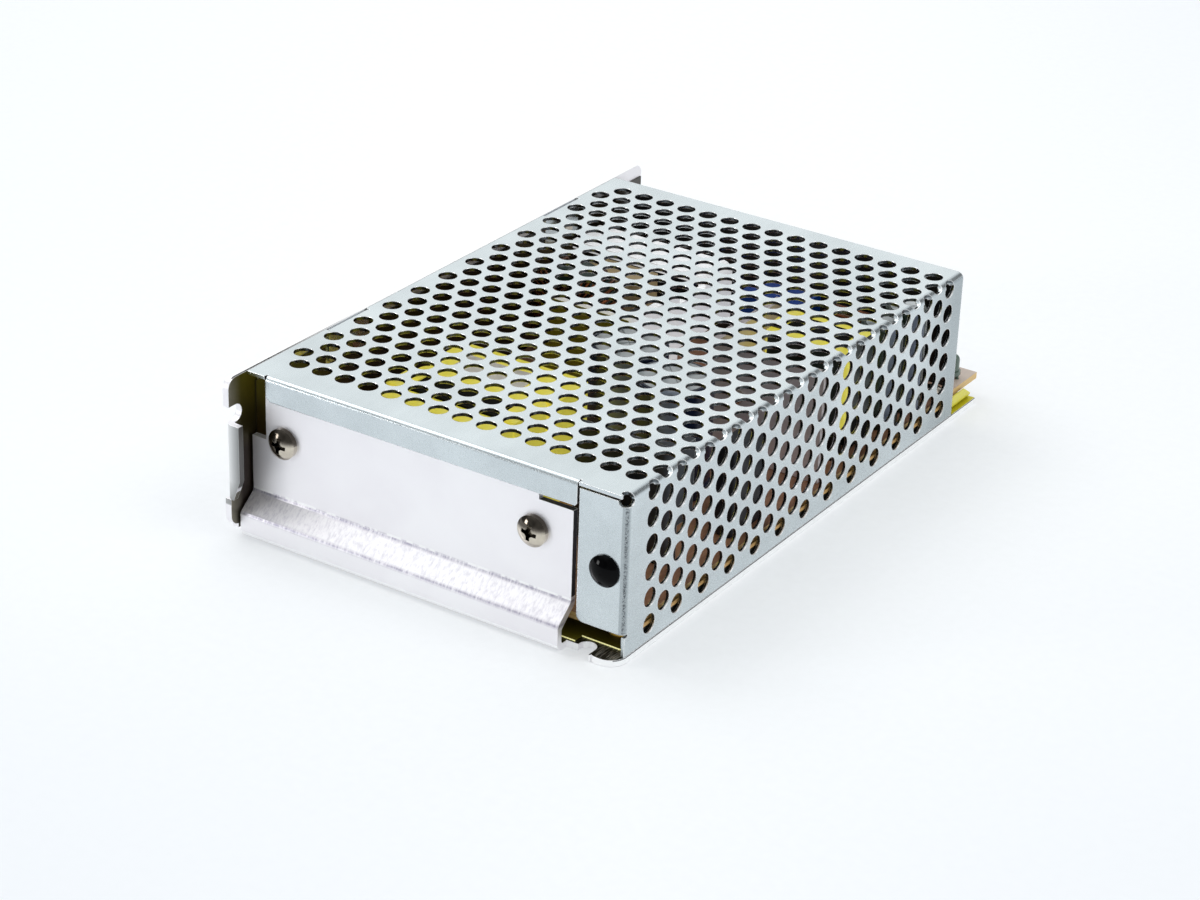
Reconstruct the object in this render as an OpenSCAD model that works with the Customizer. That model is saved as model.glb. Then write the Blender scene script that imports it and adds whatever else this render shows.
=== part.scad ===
// Mesh case switching power supply. A folded aluminium chassis carries a circuit board on
// standoffs, and a folded cover, punched all over, closes the top and the right side.
// Frame: X across the width, Y along the length with the terminals at +Y, Z up.
// The origin is the middle of the footprint, on the surface that the case stands on.

/* [Case] */
// Width over the left wall and the cover's side
case_w = 98; // [96:0.5:104]
// Length of the chassis
case_l = 159; // [158:0.5:166]
// Reach of the circuit board beyond the chassis's open end
board_out = 4.1; // [2:0.1:5]
// Height from the base to the top of the cover
case_h = 38; // [37.5:0.5:44]

/* [Chassis] */
// Thickness of the chassis sheet
plate_t = 1.5; // [1.2:0.1:1.6]
// Outer radius of the chassis bends
plate_r = 2.2; // [1.9:0.1:3]
// Radius of the left wall's upper corners
wall_corner_r = 2.5; // [1:0.5:5]
// Width of the open fixing slots
slot_w = 4; // [3.4:0.1:4.6]
// Depth of the open fixing slots
slot_depth = 4.2; // [3:0.1:5]
// Height of the left wall's slot
wall_slot_z = 29.6; // [28:0.1:31]
// Place of the base's slot, from the end plate's right edge
base_slot_x = 4.8; // [4.4:0.1:6]
// Width of the turned-in flange at the left wall's front edge
stiffener_w = 4; // [3:0.1:5]
// Height of the lower end of that flange
stiffener_z = 14.6; // [12:0.1:18]
// Distance of the lip behind the left wall's front edge
lip_setback = 2.3; // [2:0.1:4]
// Height of the lip
lip_h = 6.2; // [5:0.1:7]
// Depth of the end plate's offset
joggle_d = 4.6; // [4:0.1:5.2]
// Height of the end plate's offset
joggle_h = 3.9; // [3.5:0.1:5]
// Width of the corner left open to the right of the end plate
open_corner_w = 13.4; // [12.5:0.1:15]
// Height of the step in the end plate's left edge
step_z = 22.8; // [21:0.1:25]
// Width of that step
step_w = 3.8; // [2:0.1:5]
// Height of the end plate's cut-down right corner
cut_z = 30.6; // [29:0.1:31.5]
// Width of that corner
cut_w = 8.4; // [6:0.1:12]
// Reach of the base's corner ahead of its slot
corner_reach = 3.5; // [3:0.1:4.2]
// Spacing of the bottom fixing holes across the case
fix_x = 60; // [50:1:64]
// Spacing of the bottom fixing holes along the case
fix_y = 120; // [110:1:124]
// Diameter of the tapped bottom fixing holes
fix_d = 3; // [3:0.5:4]

/* [Cover] */
// Thickness of the cover sheet
cover_t = 0.8; // [0.6:0.05:1]
// Outer radius of the bends at the side and the corner tab
cover_r = 1.5; // [1.3:0.1:2]
// Outer radius of the front flange's bend
flange_r = 1.2; // [1.1:0.1:1.6]
// Distance of the cover's front behind the left wall's front edge
cover_setback = 6; // [5.8:0.1:6.6]
// Length of the cover
cover_l = 140.8; // [139:0.1:143]
// Height of the front flange
flange_h = 5.6; // [4.5:0.1:6.4]
// Gap of the front flange to the corner tab
tab_gap = 0.6; // [0.4:0.1:1]
// Width of the corner tab
tab_w = 11.5; // [11:0.1:12.5]
// Height of the corner tab's lower edge
tab_z = 6.7; // [6:0.1:9]
// Width of the two fixing ears inside the left wall
ear_w = 14; // [10:0.5:16]
// Length of the ears
ear_h = 8; // [7:0.1:9]
// Distance of the front ear from the cover's front edge
ear_front = 34; // [30:1:40]
// Distance of the rear ear from the cover's rear edge
ear_rear = 24; // [20:1:30]

/* [Perforation] */
// Diameter of the holes
hole_d = 4.4; // [3.6:0.1:4.8]
// Pitch of the holes across the sheet
pitch_x = 6.1; // [5.8:0.05:6.2]
// Distance between rows
pitch_y = 5.2; // [5:0.05:5.2]
// Number of rows along the case
rows = 25; // [15:2:25]
// Distance of the first row behind the cover's front edge
first_row = 9.5; // [9:0.1:11]
// Distance of the last hole of an even row from the side's outer face
last_hole = 4.4; // [4.2:0.1:5]
// Flat length that the bend takes up
bend_take = 0.3; // [0:0.1:0.6]
// Number of holes in an even row on the top
top_holes = 15; // [9:1:15]
// Number of holes in an even row on the side
side_holes = 6; // [4:1:6]

/* [Board] */
// Thickness of the circuit board
board_t = 1.6; // [1.2:0.1:2]
// Height of the standoffs above the base
standoff_h = 3; // [2.3:0.1:4]
// Diameter of the standoffs
standoff_d = 5.5; // [5:0.1:6.5]
// Gap of the board to the walls
board_gap = 1; // [0.8:0.1:1.6]
// Thickness of the insulating film
film_t = 0.3; // [0.2:0.05:0.35]
// Height of the film's fold along the right side
film_fold_z = 5; // [4:0.1:6]
// Diameter of a component lead
lead_d = 0.8; // [0.6:0.05:1]
// Length of the leads below the board
lead_tail = 1; // [0.5:0.1:1.5]

/* [Terminals] */
// Number of poles
poles = 7; // [5:1:7]
// Pitch of the poles
pole_pitch = 9.5; // [9:0.1:9.6]
// Thickness of the walls between poles
fin_t = 1.8; // [1.4:0.1:2]
// Height of the block's floor above the board
block_floor = 6.4; // [6:0.1:7.5]
// Height of the walls between poles above the board
block_h = 16.4; // [15.5:0.1:18]
// Depth of the block
block_d = 14; // [13.5:0.1:15]
// Thickness of its high back wall
back_t = 2.4; // [2:0.1:2.8]
// Distance of the back wall's top below the cover's top
back_drop = 4; // [3.8:0.1:8]
// Depth of the poles in front of the block's back wall
pole_d = 8.6; // [8:0.1:9]
// Diameter of the terminal screws
term_screw_d = 3.4; // [3:0.1:3.5]
// Length of the terminal screws under the head
term_screw_l = 7.4; // [7:0.1:7.8]
// Thickness of a clamp washer
clamp_t = 1.2; // [1:0.1:1.4]
// Thickness of a terminal plate
term_plate_t = 1; // [0.8:0.1:1.2]

/* [Fasteners] */
// Diameter of the two end plate screws
end_screw_d = 3.5; // [3:0.1:4]
// Head diameter of the end plate screws
end_head_d = 7; // [6:0.1:7.6]
// Height of the end plate screws
end_screw_z = 23.4; // [22.6:0.1:24.2]
// Place of the left end plate screw, from the end plate's left edge
end_screw_left = 8.7; // [8:0.1:10]
// Place of the right end plate screw, from the end plate's right edge
end_screw_right = 9.4; // [8:0.1:10]
// Diameter of the board and cover screws
small_screw_d = 3; // [2.5:0.1:3]
// Head diameter of the board and cover screws
small_head_d = 5.6; // [5:0.1:6]
// Diameter of the corner plug's head
plug_d = 7; // [6:0.1:7.6]
// Place of the corner plug, from the side's outer face
plug_x = 5; // [4.6:0.1:6]
// Height of the corner plug
plug_z = 20.2; // [14:0.1:26]
// Running clearance, on the radius, of what turns
run_gap = 0.05; // [0.03:0.01:0.08]
// Gap between parts that are fitted face to face
fit_gap = 0.1; // [0.05:0.01:0.15]

/* [Power semiconductors] */
// Width of a transistor
tr_w = 10; // [9.6:0.1:10.4]
// Thickness of its body
tr_t = 4.5; // [4.2:0.1:4.8]
// Thickness of its tab
tr_tab_t = 2.6; // [2.4:0.1:2.8]
// Height of its body
tr_h = 9.2; // [8.8:0.1:9.6]
// Height of its tab above the body
tr_tab_h = 6.4; // [6:0.1:6.8]
// Height of its body's lower end above the board
tr_lift = 5.4; // [5:0.1:6]
// Thickness of the clamp bar
bar_t = 2; // [1.5:0.1:2.5]
// Height of the clamp bar
bar_h = 11.2; // [10:0.1:11.6]
// Thickness of the heat sinks
sink_t = 2; // [1.5:0.1:2]

/* [Hidden] */
$fn = 48;

// Outer faces of the case
left = -case_w / 2;
right = case_w / 2;
front = -(case_l + board_out) / 2;
rear = front + case_l;
wall_in = left + plate_t;
// Inner parts keep their share of the case's plan, in place and in size
mx = case_w / 98;
my = case_l / 159;
m = min(mx, my);
function at(x, y) = [x * mx, (front + rear) / 2 + y * my];
// End plate and lip
lip_y = front + lip_setback;
plate_y = lip_y + joggle_d;
plate_in = plate_y + plate_t;
plate_left = wall_in + film_t + 0.2;
plate_right = right - open_corner_w;
plate_top = case_h - cover_t - 0.4;
stiffener_low = stiffener_z - 4.8;
slot_low = wall_slot_z - slot_w / 2;
bend_z = lip_h + joggle_h;
// Base
slot_x = plate_right + base_slot_x;
base_front = plate_y - 1.1;
corner_front = lip_y + 1.2;
// Cover
cover_front = front + cover_setback;
cover_rear = cover_front + cover_l;
cover_left = wall_in + fit_gap;
cover_in = right - cover_t;
top_z = case_h - cover_t;
tab_left = right - tab_w;
flange_left = plate_left + step_w + 0.8;
side_z = plate_t + fit_gap;
relief_r = 0.9;
// The ears' bends are sharper
ear_r = cover_t + 0.1;
ear_front_y = cover_front + ear_front;
ear_rear_y = cover_rear - ear_rear;
ear_screw_z = case_h - ear_h + 3.4;
// Rows of holes: the punched sheet runs on over the bend, so a row's pitch does too
last_x = right - last_hole;
first_z = case_h - (pitch_x + bend_take - last_hole);
// Board
board_z = plate_t + standoff_h;
board_top = board_z + board_t;
board_left = wall_in + board_gap;
board_right = cover_in - board_gap - 0.2;
board_front = plate_in + board_gap;
board_rear = rear + board_out;
lead_z = board_z - lead_tail;
// Places of the five board screws
screw_at = [[board_left + 4.5, board_front + 6.1], [board_right - 4.5, board_front + 6.1],
            [board_left + 3.8, rear - 17.5], [board_right - 3.2, rear - 13],
            [board_left + 3.8, at(0, 4)[1]]];
// Terminals
block_w = poles * pole_pitch + 5;
block_x = board_left + 8;
block_rear = board_rear - 0.8;
block_front = block_rear - block_d;
wall_back = block_rear - pole_d;
pole_y = block_rear - pole_d / 2 - 0.3;
pole_z = board_top + block_floor;
back_top = case_h - back_drop;
function pole_x(i) = block_x + 2.5 + (i - 0.5) * pole_pitch;
// Trimmer
trim_w = 6;
trim = [block_x + block_w + 1.2 + trim_w / 2, wall_back + 0.8 + trim_w / 2];
trim_top = board_top + 5;
// Clamped row behind the end plate
pad_y = plate_in + film_t;
bar_y = pad_y + tr_t;
end_screws_x = [plate_left + end_screw_left, plate_right - end_screw_right];
clamped_x = [for (i = [0:3]) end_screws_x[0] + (end_screws_x[1] - end_screws_x[0]) * (0.162 + i * 0.223)];
// Larger parts on the board: middle of each footprint
main_at = at(-10, -47.5);
main_size = [34 * m, 19 * m];
main_core = 7 * m;
main_leg = 8 * m;
drive_at = at(-10, -30.6);
drive_size = [34 * m, 13.8 * m];
cap_d = 18 * m;
cap_front_at = at(20.2, -11.5);
cap_rear_at = at(3, -3);
output_at = at(33.8, 29.5);
output_size = [21.6 * m, 17 * m];
output_core = 7 * m;
output_leg = 6 * m;
tall_z = case_h * 33 / 38;
shelf_z = case_h * 30 / 38;
primary_sink = at(15.6, -43);
shelf_sink = at(-30, 14);
output_sink = at(16, 9);

// A box between two corners
module block(x0, x1, y0, y1, z0, z1) {
    translate([x0, y0, z0]) cube([x1 - x0, y1 - y0, z1 - z0]);
}

// A quarter of a bent sheet's section, in the corner of the first quadrant
module bend_section(r, t) {
    intersection() {
        difference() {
            circle(r);
            circle(r - t);
        }
        square(r + 1);
    }
}

// An upright sheet across the case, drawn as seen from the front
module sheet_xz(y, t) {
    translate([0, y + t, 0]) rotate([90, 0, 0]) linear_extrude(t) children();
}

// An upright sheet along the case, drawn with Y to the right and Z up
module sheet_yz(x, t) {
    translate([x, 0, 0]) rotate([90, 0, 90]) linear_extrude(t) children();
}

// Flat outline with the corners rounded by circles
module rounded(x0, x1, y0, y1, r) {
    translate([x0 + r, y0]) square([x1 - x0 - 2 * r, y1 - y0]);
    translate([x0, y0 + r]) square([x1 - x0, y1 - y0 - 2 * r]);
    for (x = [x0 + r, x1 - r], y = [y0 + r, y1 - r]) translate([x, y]) circle(r);
}

// Leads down through the board, at the given places
module leads(places, z_top, d = lead_d) {
    for (p = places) translate([p[0], p[1], lead_z]) cylinder(d = d, h = z_top - lead_z);
}

// Places of n leads in a line about a middle
function line_x(at, n, pitch) = [for (i = [0:n - 1]) [at[0] + (i - (n - 1) / 2) * pitch, at[1]]];
function line_y(at, n, pitch) = [for (i = [0:n - 1]) [at[0], at[1] + (i - (n - 1) / 2) * pitch]];
function two_rows(at, n, pitch, span) = concat(line_x([at[0], at[1] - span / 2], n, pitch),
                                               line_x([at[0], at[1] + span / 2], n, pitch));

// Left wall with its open slot, seen from the right with Y to the right
module wall_outline() {
    difference() {
        union() {
            rounded(front, rear, plate_r + 1, case_h, wall_corner_r);
            translate([front + plate_r, plate_r]) square([case_l - plate_r, 8]);
        }
        translate([front - 1, slot_low]) square([slot_depth + 1 - slot_w / 2, slot_w]);
        translate([front + slot_depth - slot_w / 2, wall_slot_z]) circle(d = slot_w);
        translate([front - 1, stiffener_low]) square([plate_r + 1, slot_low - stiffener_low]);
    }
}

// Base with the corner beside the end plate, its open slot and the fixing holes
module base_outline() {
    slot_end = corner_front + slot_depth + 0.4;
    difference() {
        union() {
            translate([left + plate_r, lip_y + plate_r])
                square([plate_right - left - plate_r, rear - lip_y - plate_r]);
            translate([plate_right - 1, base_front]) square([slot_x - plate_right + 1, rear - base_front]);
            translate([slot_x, corner_front + 4]) square([right - slot_x, rear - corner_front - 4]);
            rounded(slot_x, right, corner_front, corner_front + 12, 4);
            translate([slot_x, corner_front]) square([2.4, 6]);
        }
        translate([slot_x - slot_w / 2, corner_front - 1])
            square([slot_w, slot_end - corner_front + 1 - slot_w / 2]);
        translate([slot_x, slot_end - slot_w / 2]) circle(d = slot_w);
        for (x = [-1, 1], y = [-1, 1]) translate([x * fix_x / 2, y * fix_y / 2]) circle(d = fix_d);
        for (p = screw_at) translate(p) circle(d = standoff_d - 1.3);
    }
}

// End plate above its offset, seen from the front
module end_plate_outline() {
    difference() {
        translate([plate_left, bend_z]) square([plate_right - plate_left, plate_top - bend_z]);
        translate([plate_left - 1, step_z]) square([step_w + 1, case_h]);
        translate([plate_right - cut_w, cut_z]) square([cut_w + 1, case_h]);
        for (x = end_screws_x) translate([x, end_screw_z]) circle(d = end_screw_d + 0.6);
    }
}

// Section of the lip and of the end plate's offset, seen from the right with Y to the right
module lip_section() {
    fold = 0.6;
    in_y = lip_y + plate_t;
    polygon([[lip_y, plate_r], [lip_y, lip_h - fold], [lip_y + 0.3, lip_h],
             [plate_y - 0.3, bend_z - fold], [plate_y, bend_z], [plate_in, bend_z],
             [plate_in, bend_z - 0.9], [plate_in - 0.3, bend_z - 1.4],
             [in_y + 0.3, lip_h - 1.1], [in_y, lip_h - 1.6], [in_y, plate_r]]);
}

module chassis() {
    color("#c9cdd1") {
        difference() {
            sheet_yz(left, plate_t) wall_outline();
            for (y = [ear_front_y, ear_rear_y])
                translate([left - 0.01, y, ear_screw_z]) rotate([0, 90, 0]) {
                    cylinder(d1 = small_head_d + 0.3, d2 = small_screw_d + 0.4, h = 1.31);
                    cylinder(d = small_screw_d + 0.4, h = plate_t + 1);
                }
        }
        // Bend between the wall and the base
        translate([left + plate_r, rear, plate_r]) rotate([90, 180, 0])
            linear_extrude(case_l - lip_setback - plate_r) bend_section(plate_r, plate_t);
        linear_extrude(plate_t) base_outline();
        // Bend between the base and the lip
        translate([plate_left, lip_y + plate_r, plate_r]) rotate([90, 0, 90])
            linear_extrude(plate_right - plate_left) rotate(180) bend_section(plate_r, plate_t);
        sheet_yz(plate_left, plate_right - plate_left) lip_section();
        sheet_xz(plate_y, plate_t) end_plate_outline();
        // Stiffening flange at the wall's front edge
        translate([left + plate_r, front + plate_r, stiffener_low])
            linear_extrude(slot_low - stiffener_low) rotate(180) bend_section(plate_r, plate_t);
        sheet_xz(front, plate_t)
            polygon([[left + plate_r, stiffener_low], [left + plate_r, slot_low],
                     [left + stiffener_w, slot_low], [left + stiffener_w, stiffener_z]]);
    }
}

// Places of the holes on the flat top, and on the flat side as [y, z]
function row_y(j) = cover_front + first_row + j * pitch_y;
top_at = [for (j = [0:rows - 1]) let (odd = j % 2)
          for (i = [0:top_holes - 1 + odd]) [last_x + (odd / 2 - i) * pitch_x, row_y(j)]];
side_at = [for (j = [0:rows - 1]) let (odd = j % 2)
           for (i = [0:side_holes - 1 - odd]) [row_y(j), first_z - (odd / 2 + i) * pitch_x]];

// The rest of a hole that runs on over the bend: a cylinder from the face that holds
// the hole's middle, rounded off at its far end by a second one from the other face
module bend_hole(j) {
    odd = j % 2 == 1;
    x = odd ? last_x + pitch_x / 2 : right - cover_r + hole_d / 2 + 0.5;
    z = odd ? case_h - cover_r + hole_d / 2 + 0.1 : first_z;
    translate([0, row_y(j), 0]) intersection() {
        translate([x, 0, case_h - 6]) cylinder(d = hole_d, h = 7);
        translate([right - 6, 0, z]) rotate([0, 90, 0]) cylinder(d = hole_d, h = 7);
    }
}

// Top: a plain rear edge, a folded flange in front and two folded ears at the left
module top_outline() {
    flange_right = tab_left - tab_gap;
    difference() {
        union() {
            translate([cover_left, cover_front + flange_r])
                square([right - cover_r - cover_left, cover_l - flange_r]);
            translate([cover_left, cover_front + 0.2]) square([flange_left - cover_left - 0.4, 4]);
            translate([flange_right + 0.4, cover_front]) square([right - cover_r - flange_right - 0.4, 4]);
        }
        for (y = [ear_front_y, ear_rear_y])
            translate([cover_left - 1, y - ear_w / 2 - 0.2]) square([ear_r + 1, ear_w + 0.4]);
        translate([right - cover_r, cover_front + cover_r]) circle(relief_r);
        for (p = top_at) translate(p) circle(d = hole_d);
    }
}

module side_outline() {
    difference() {
        union() {
            translate([cover_front + cover_r, side_z])
                square([cover_l - cover_r, case_h - cover_r - side_z]);
            translate([cover_front + 0.4, side_z]) square([4, tab_z - 0.6 - side_z]);
        }
        translate([cover_front + cover_r, case_h - cover_r]) circle(relief_r);
        for (p = side_at) translate(p) circle(d = hole_d);
    }
}

module cover() {
    flange_right = tab_left - tab_gap;
    color("#dce5e3") {
        translate([0, 0, top_z]) linear_extrude(cover_t) top_outline();
        sheet_yz(cover_in, cover_t) side_outline();
        // Bend along the right edge
        difference() {
            translate([right - cover_r, cover_rear, case_h - cover_r]) rotate([90, 0, 0])
                linear_extrude(cover_l - cover_r - relief_r) bend_section(cover_r, cover_t);
            for (j = [0:rows - 1]) bend_hole(j);
        }
        // Front flange with a cut corner
        translate([flange_left, cover_front + flange_r, case_h - flange_r]) rotate([90, 0, 90])
            linear_extrude(flange_right - flange_left) rotate(90) bend_section(flange_r, cover_t);
        sheet_xz(cover_front, cover_t)
            polygon([[flange_left, case_h - flange_r], [flange_left, case_h - flange_h + 1],
                     [flange_left + 1, case_h - flange_h], [flange_right - 0.5, case_h - flange_h],
                     [flange_right, case_h - flange_h + 0.5], [flange_right, case_h - flange_r]]);
        // Corner tab, folded from the side
        translate([right - cover_r, cover_front + cover_r, tab_z])
            linear_extrude(case_h - cover_r - relief_r - tab_z) rotate(-90) bend_section(cover_r, cover_t);
        sheet_xz(cover_front, cover_t) difference() {
            union() {
                rounded(tab_left, right - cover_r, tab_z, tab_z + 12, 1.5);
                translate([tab_left + 4, tab_z]) square([right - cover_r - tab_left - 4, 12]);
                translate([tab_left, tab_z + 6])
                    square([right - cover_r - tab_left, top_z - 0.5 - tab_z - 6]);
            }
            translate([right - plug_x, plug_z]) circle(d = plug_d - 2);
            translate([right - cover_r, case_h - cover_r]) circle(relief_r);
        }
        // Ears with threaded holes, inside the left wall
        for (y = [ear_front_y, ear_rear_y]) {
            translate([cover_left + ear_r, y + ear_w / 2, case_h - ear_r]) rotate([90, 0, 0])
                linear_extrude(ear_w) rotate(90) bend_section(ear_r, cover_t);
            sheet_yz(cover_left, cover_t) difference() {
                union() {
                    rounded(y - ear_w / 2, y + ear_w / 2, case_h - ear_h, case_h - ear_r, 1);
                    translate([y - ear_w / 2, case_h - ear_r - 2]) square([ear_w, 2]);
                }
                translate([y, ear_screw_z]) circle(d = small_screw_d + 0.1);
            }
        }
    }
}

// Film on the base, folded up both sides, and cut out round the ears on the left wall
module insulating_film() {
    fold_r = 1.2;
    film_y = plate_in + 0.4;
    film_end = rear - 0.5;
    film_x = cover_in - 0.3;
    fold_z = plate_t + fold_r;
    color("#c9c24a") difference() {
        union() {
            translate([0, film_end, 0]) rotate([90, 0, 0]) linear_extrude(film_end - film_y) {
                translate([wall_in + fold_r, plate_t]) square([film_x - wall_in - 2 * fold_r, film_t]);
                translate([wall_in + fold_r, fold_z]) rotate(180) bend_section(fold_r, film_t);
                translate([film_x - fold_r, fold_z]) rotate(270) bend_section(fold_r, film_t);
                translate([wall_in, fold_z]) square([film_t, case_h - 3.2 - fold_z]);
                translate([film_x - film_t, fold_z]) square([film_t, film_fold_z - fold_z]);
            }
            block(wall_in + 6, plate_right + 1.7, plate_y - 0.6, film_y + 1, plate_t, plate_t + film_t);
        }
        translate([0, 0, plate_t - 1]) linear_extrude(film_t + 2) intersection() {
            translate([wall_in + fold_r, film_y]) square([film_x - wall_in - 2 * fold_r, film_end - film_y]);
            union() {
                for (x = [-1, 1], y = [-1, 1])
                    translate([x * fix_x / 2, y * fix_y / 2]) circle(d = fix_d + 3);
                for (p = screw_at) translate(p) circle(d = standoff_d + 1);
            }
        }
        sheet_yz(wall_in - 1, film_t + 2) for (y = [ear_front_y, ear_rear_y])
            translate([y - ear_w / 2 - 0.6, case_h - ear_h - 0.6]) square([ear_w + 1.2, ear_h]);
        // The right side's fold slants at both ends
        sheet_yz(film_x - film_t - 0.5, film_t + 1) {
            polygon([[film_y - 1, fold_z], [film_y, fold_z], [film_y + 1, film_fold_z],
                     [film_y + 1, film_fold_z + 1], [film_y - 1, film_fold_z + 1]]);
            polygon([[film_end + 1, fold_z], [film_end, fold_z], [film_end - 3.4, film_fold_z],
                     [film_end - 3.4, film_fold_z + 1], [film_end + 1, film_fold_z + 1]]);
        }
    }
}

// Cross recess, cut down from the top of a head
module cross_recess(z_top, size, depth) {
    for (a = [0, 90]) rotate(a)
        translate([-size / 2, -size / 8, z_top - depth]) cube([size, size / 4, depth + 1]);
    translate([0, 0, z_top - depth]) cylinder(d1 = size / 3, d2 = size / 1.9, h = depth + 0.01);
}

// Pan head screw along +Z with the head's seat at z = 0
module pan_screw(d, head_d, head_h, length) {
    rim = head_h * 0.45;
    dome = head_h - rim;
    big_r = (pow(head_d / 2, 2) + dome * dome) / (2 * dome);
    difference() {
        rotate_extrude() intersection() {
            translate([0, head_h - big_r]) circle(big_r, $fn = 120);
            square([head_d / 2, head_h]);
        }
        cross_recess(head_h, head_d * 0.52, head_h * 0.62);
    }
    rotate_extrude()
        polygon([[0, 0.3], [d / 2, 0.3], [d / 2, d / 6 - length], [d / 3, -length], [0, -length]]);
}

module end_plate_screws() {
    color("#b9b2a6")
        for (x = end_screws_x) translate([x, plate_y, end_screw_z]) rotate([90, 8, 0])
            pan_screw(end_screw_d, end_head_d, 2.3, bar_y + bar_t + 0.8 - plate_y);
}

// Snap plug with a domed head and four barbed legs
module corner_plug() {
    leg_d = plug_d - 2.2;
    color("#17181a")
        translate([right - plug_x, cover_front, plug_z]) rotate([90, 0, 0]) {
            rotate_extrude() intersection() {
                translate([0, -3.4]) circle(d = 10.4, $fn = 120);
                square([plug_d / 2, 4]);
            }
            difference() {
                union() {
                    translate([0, 0, -3]) cylinder(d = leg_d, h = 3);
                    translate([0, 0, -2]) cylinder(d1 = leg_d, d2 = leg_d + 0.9, h = 1);
                }
                translate([0, 0, -4]) cylinder(d = leg_d - 1.8, h = 3.4);
                for (a = [0, 90]) rotate(a) translate([-4, -0.4, -4]) cube([8, 0.8, 3.1]);
            }
        }
}

// Countersunk screws through the left wall into the cover's ears
module cover_screws() {
    color("#b9b2a6")
        for (y = [ear_front_y, ear_rear_y]) translate([left + 0.05, y, ear_screw_z]) rotate([0, 90, 0]) {
            difference() {
                cylinder(d1 = small_head_d, d2 = small_screw_d, h = (small_head_d - small_screw_d) / 2);
                mirror([0, 0, 1]) cross_recess(0.01, small_head_d * 0.55, 1);
            }
            cylinder(d = small_screw_d, h = 4.5);
        }
}

// Places and sizes of the smaller parts
film_cap_at = at(41.8, -18);
film_cap_size = [5 * m, 13 * m, 21];
blue_at = at(10, 51);
blue_size = [16 * m, 12 * m, 21.5];
line_cap_at = at(-35, 51.2);
line_cap_size = [18 * m, 8 * m, 15.5];
out_cap_d = 10 * m;
out_cap_h = 25;
out_caps_at = [at(40.6, 45), at(40.6, 56.4)];
choke_at = at(27, 52);
choke_r = 10.4 * m;
choke_w = 10.4 * m;
line_choke_at = at(-33.5, 30);
line_choke_r = 12 * m;
line_choke_w = 9.4 * m;
fuse_at = at(-28, 60.4);
fuse_l = 19.6 * m;
ntc_at = at(-9.5, 60);
ntc_d = 10 * m;
safety_at = [at(-38, -10), at(-38, -22)];
safety_d = 9 * m;
bridge_at = at(-19, 28);
bridge_l = 20 * m;
rectifier_at = [at(24.8, 0)[0], output_sink[1] + sink_t + 2.2];
switch_at = [at(27.6, 0)[0], primary_sink[1] - 2.4];
tab_hole_z = board_top + 3 + tr_h + 3.3;
ic_at = at(-18, 4);
resistor_span = 12.5 * m;
resistors_at = [at(-38, -36), at(-38, -41), at(-38, -46), at(32, -52), at(32, -57), at(-14, -16)];
led_at = [board_right - 3.4, trim[1] - 0.6];

// Places of the leads, by component
main_pins = two_rows(main_at, 5, 5 * m, 14 * m);
drive_pins = two_rows(drive_at, 4, 6 * m, 8 * m);
output_pins = two_rows(output_at, 4, 4.5 * m, 13 * m);
cap_front_pins = line_x(cap_front_at, 2, 7.5 * m);
cap_rear_pins = line_x(cap_rear_at, 2, 7.5 * m);
clamped_pins = [for (x = clamped_x, p = line_x([x, bar_y - 1.8], 3, 2.54)) p];
out_cap_pins = [for (c = out_caps_at, p = line_y(c, 2, out_cap_d / 2)) p];
choke_pins = [for (i = [-1, 1])
              [choke_at[0] + i * (choke_w / 2 - 0.6), choke_at[1] + i * choke_r * 0.58]];
blue_pins = line_x(blue_at, 2, 10 * m);
film_cap_pins = line_y(film_cap_at, 2, 10 * m);
fuse_pins = line_x(fuse_at, 2, fuse_l + 1.4);
ntc_pins = line_x(ntc_at, 2, ntc_d / 2);
line_cap_pins = line_x(line_cap_at, 2, 15 * m);
line_choke_pins = two_rows(line_choke_at, 2, line_choke_r, line_choke_w - 1.2);
safety_pins = [for (c = safety_at, p = line_y(c, 2, 7.5 * m)) p];
bridge_pins = line_y(bridge_at, 4, bridge_l / 4);
rectifier_pins = line_x(rectifier_at, 3, 2.54);
switch_pins = line_x(switch_at, 3, 2.54);
ic_pins = two_rows(ic_at, 4, 2.54, 7.62);
resistor_pins = [for (c = resistors_at, p = line_x(c, 2, resistor_span)) p];
terminal_pins = [for (i = [1:poles]) [pole_x(i), block_front + 2.4]];
led_pins = line_x(led_at, 2, 2.54);
trim_pins = [[trim[0] - 2, trim[1]], [trim[0], trim[1] + 2], [trim[0] + 2, trim[1]]];
// Heat sinks: where each one's two pins stand in its sheet
sink_mid = sink_t / 2;
primary_pins = [[primary_sink[0] + 4 * m, primary_sink[1] + sink_mid],
                [board_right - 8.6 - 2 * m, primary_sink[1] + sink_mid]];
output_pins_of_sink = [[output_sink[0] + sink_mid, output_sink[1] + 28 * m],
                       [output_sink[0] + 26 * m, output_sink[1] + sink_mid]];
shelf_pins = [[shelf_sink[0] + 3 * m, shelf_sink[1] + sink_mid],
              [shelf_sink[0] + 20 * m, shelf_sink[1] + sink_mid]];
all_pins = concat(main_pins, drive_pins, output_pins, cap_front_pins, cap_rear_pins, clamped_pins,
                  out_cap_pins, choke_pins, blue_pins, film_cap_pins, fuse_pins, ntc_pins, line_cap_pins,
                  line_choke_pins, safety_pins, bridge_pins, rectifier_pins, switch_pins, ic_pins,
                  resistor_pins, led_pins, trim_pins);

module circuit_board() {
    color("#8a6a3a") translate([0, 0, board_z]) linear_extrude(board_t) difference() {
        translate([board_left, board_front])
            square([board_right - board_left, board_rear - board_front]);
        for (p = screw_at) translate(p) circle(d = small_screw_d + 0.5);
        for (p = all_pins) translate(p) circle(d = lead_d + 0.3, $fn = 24);
        for (p = terminal_pins) translate(p) circle(d = 2.2, $fn = 24);
        for (p = concat(primary_pins, output_pins_of_sink, shelf_pins))
            translate(p) circle(d = sink_t + 0.6, $fn = 24);
    }
}

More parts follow.
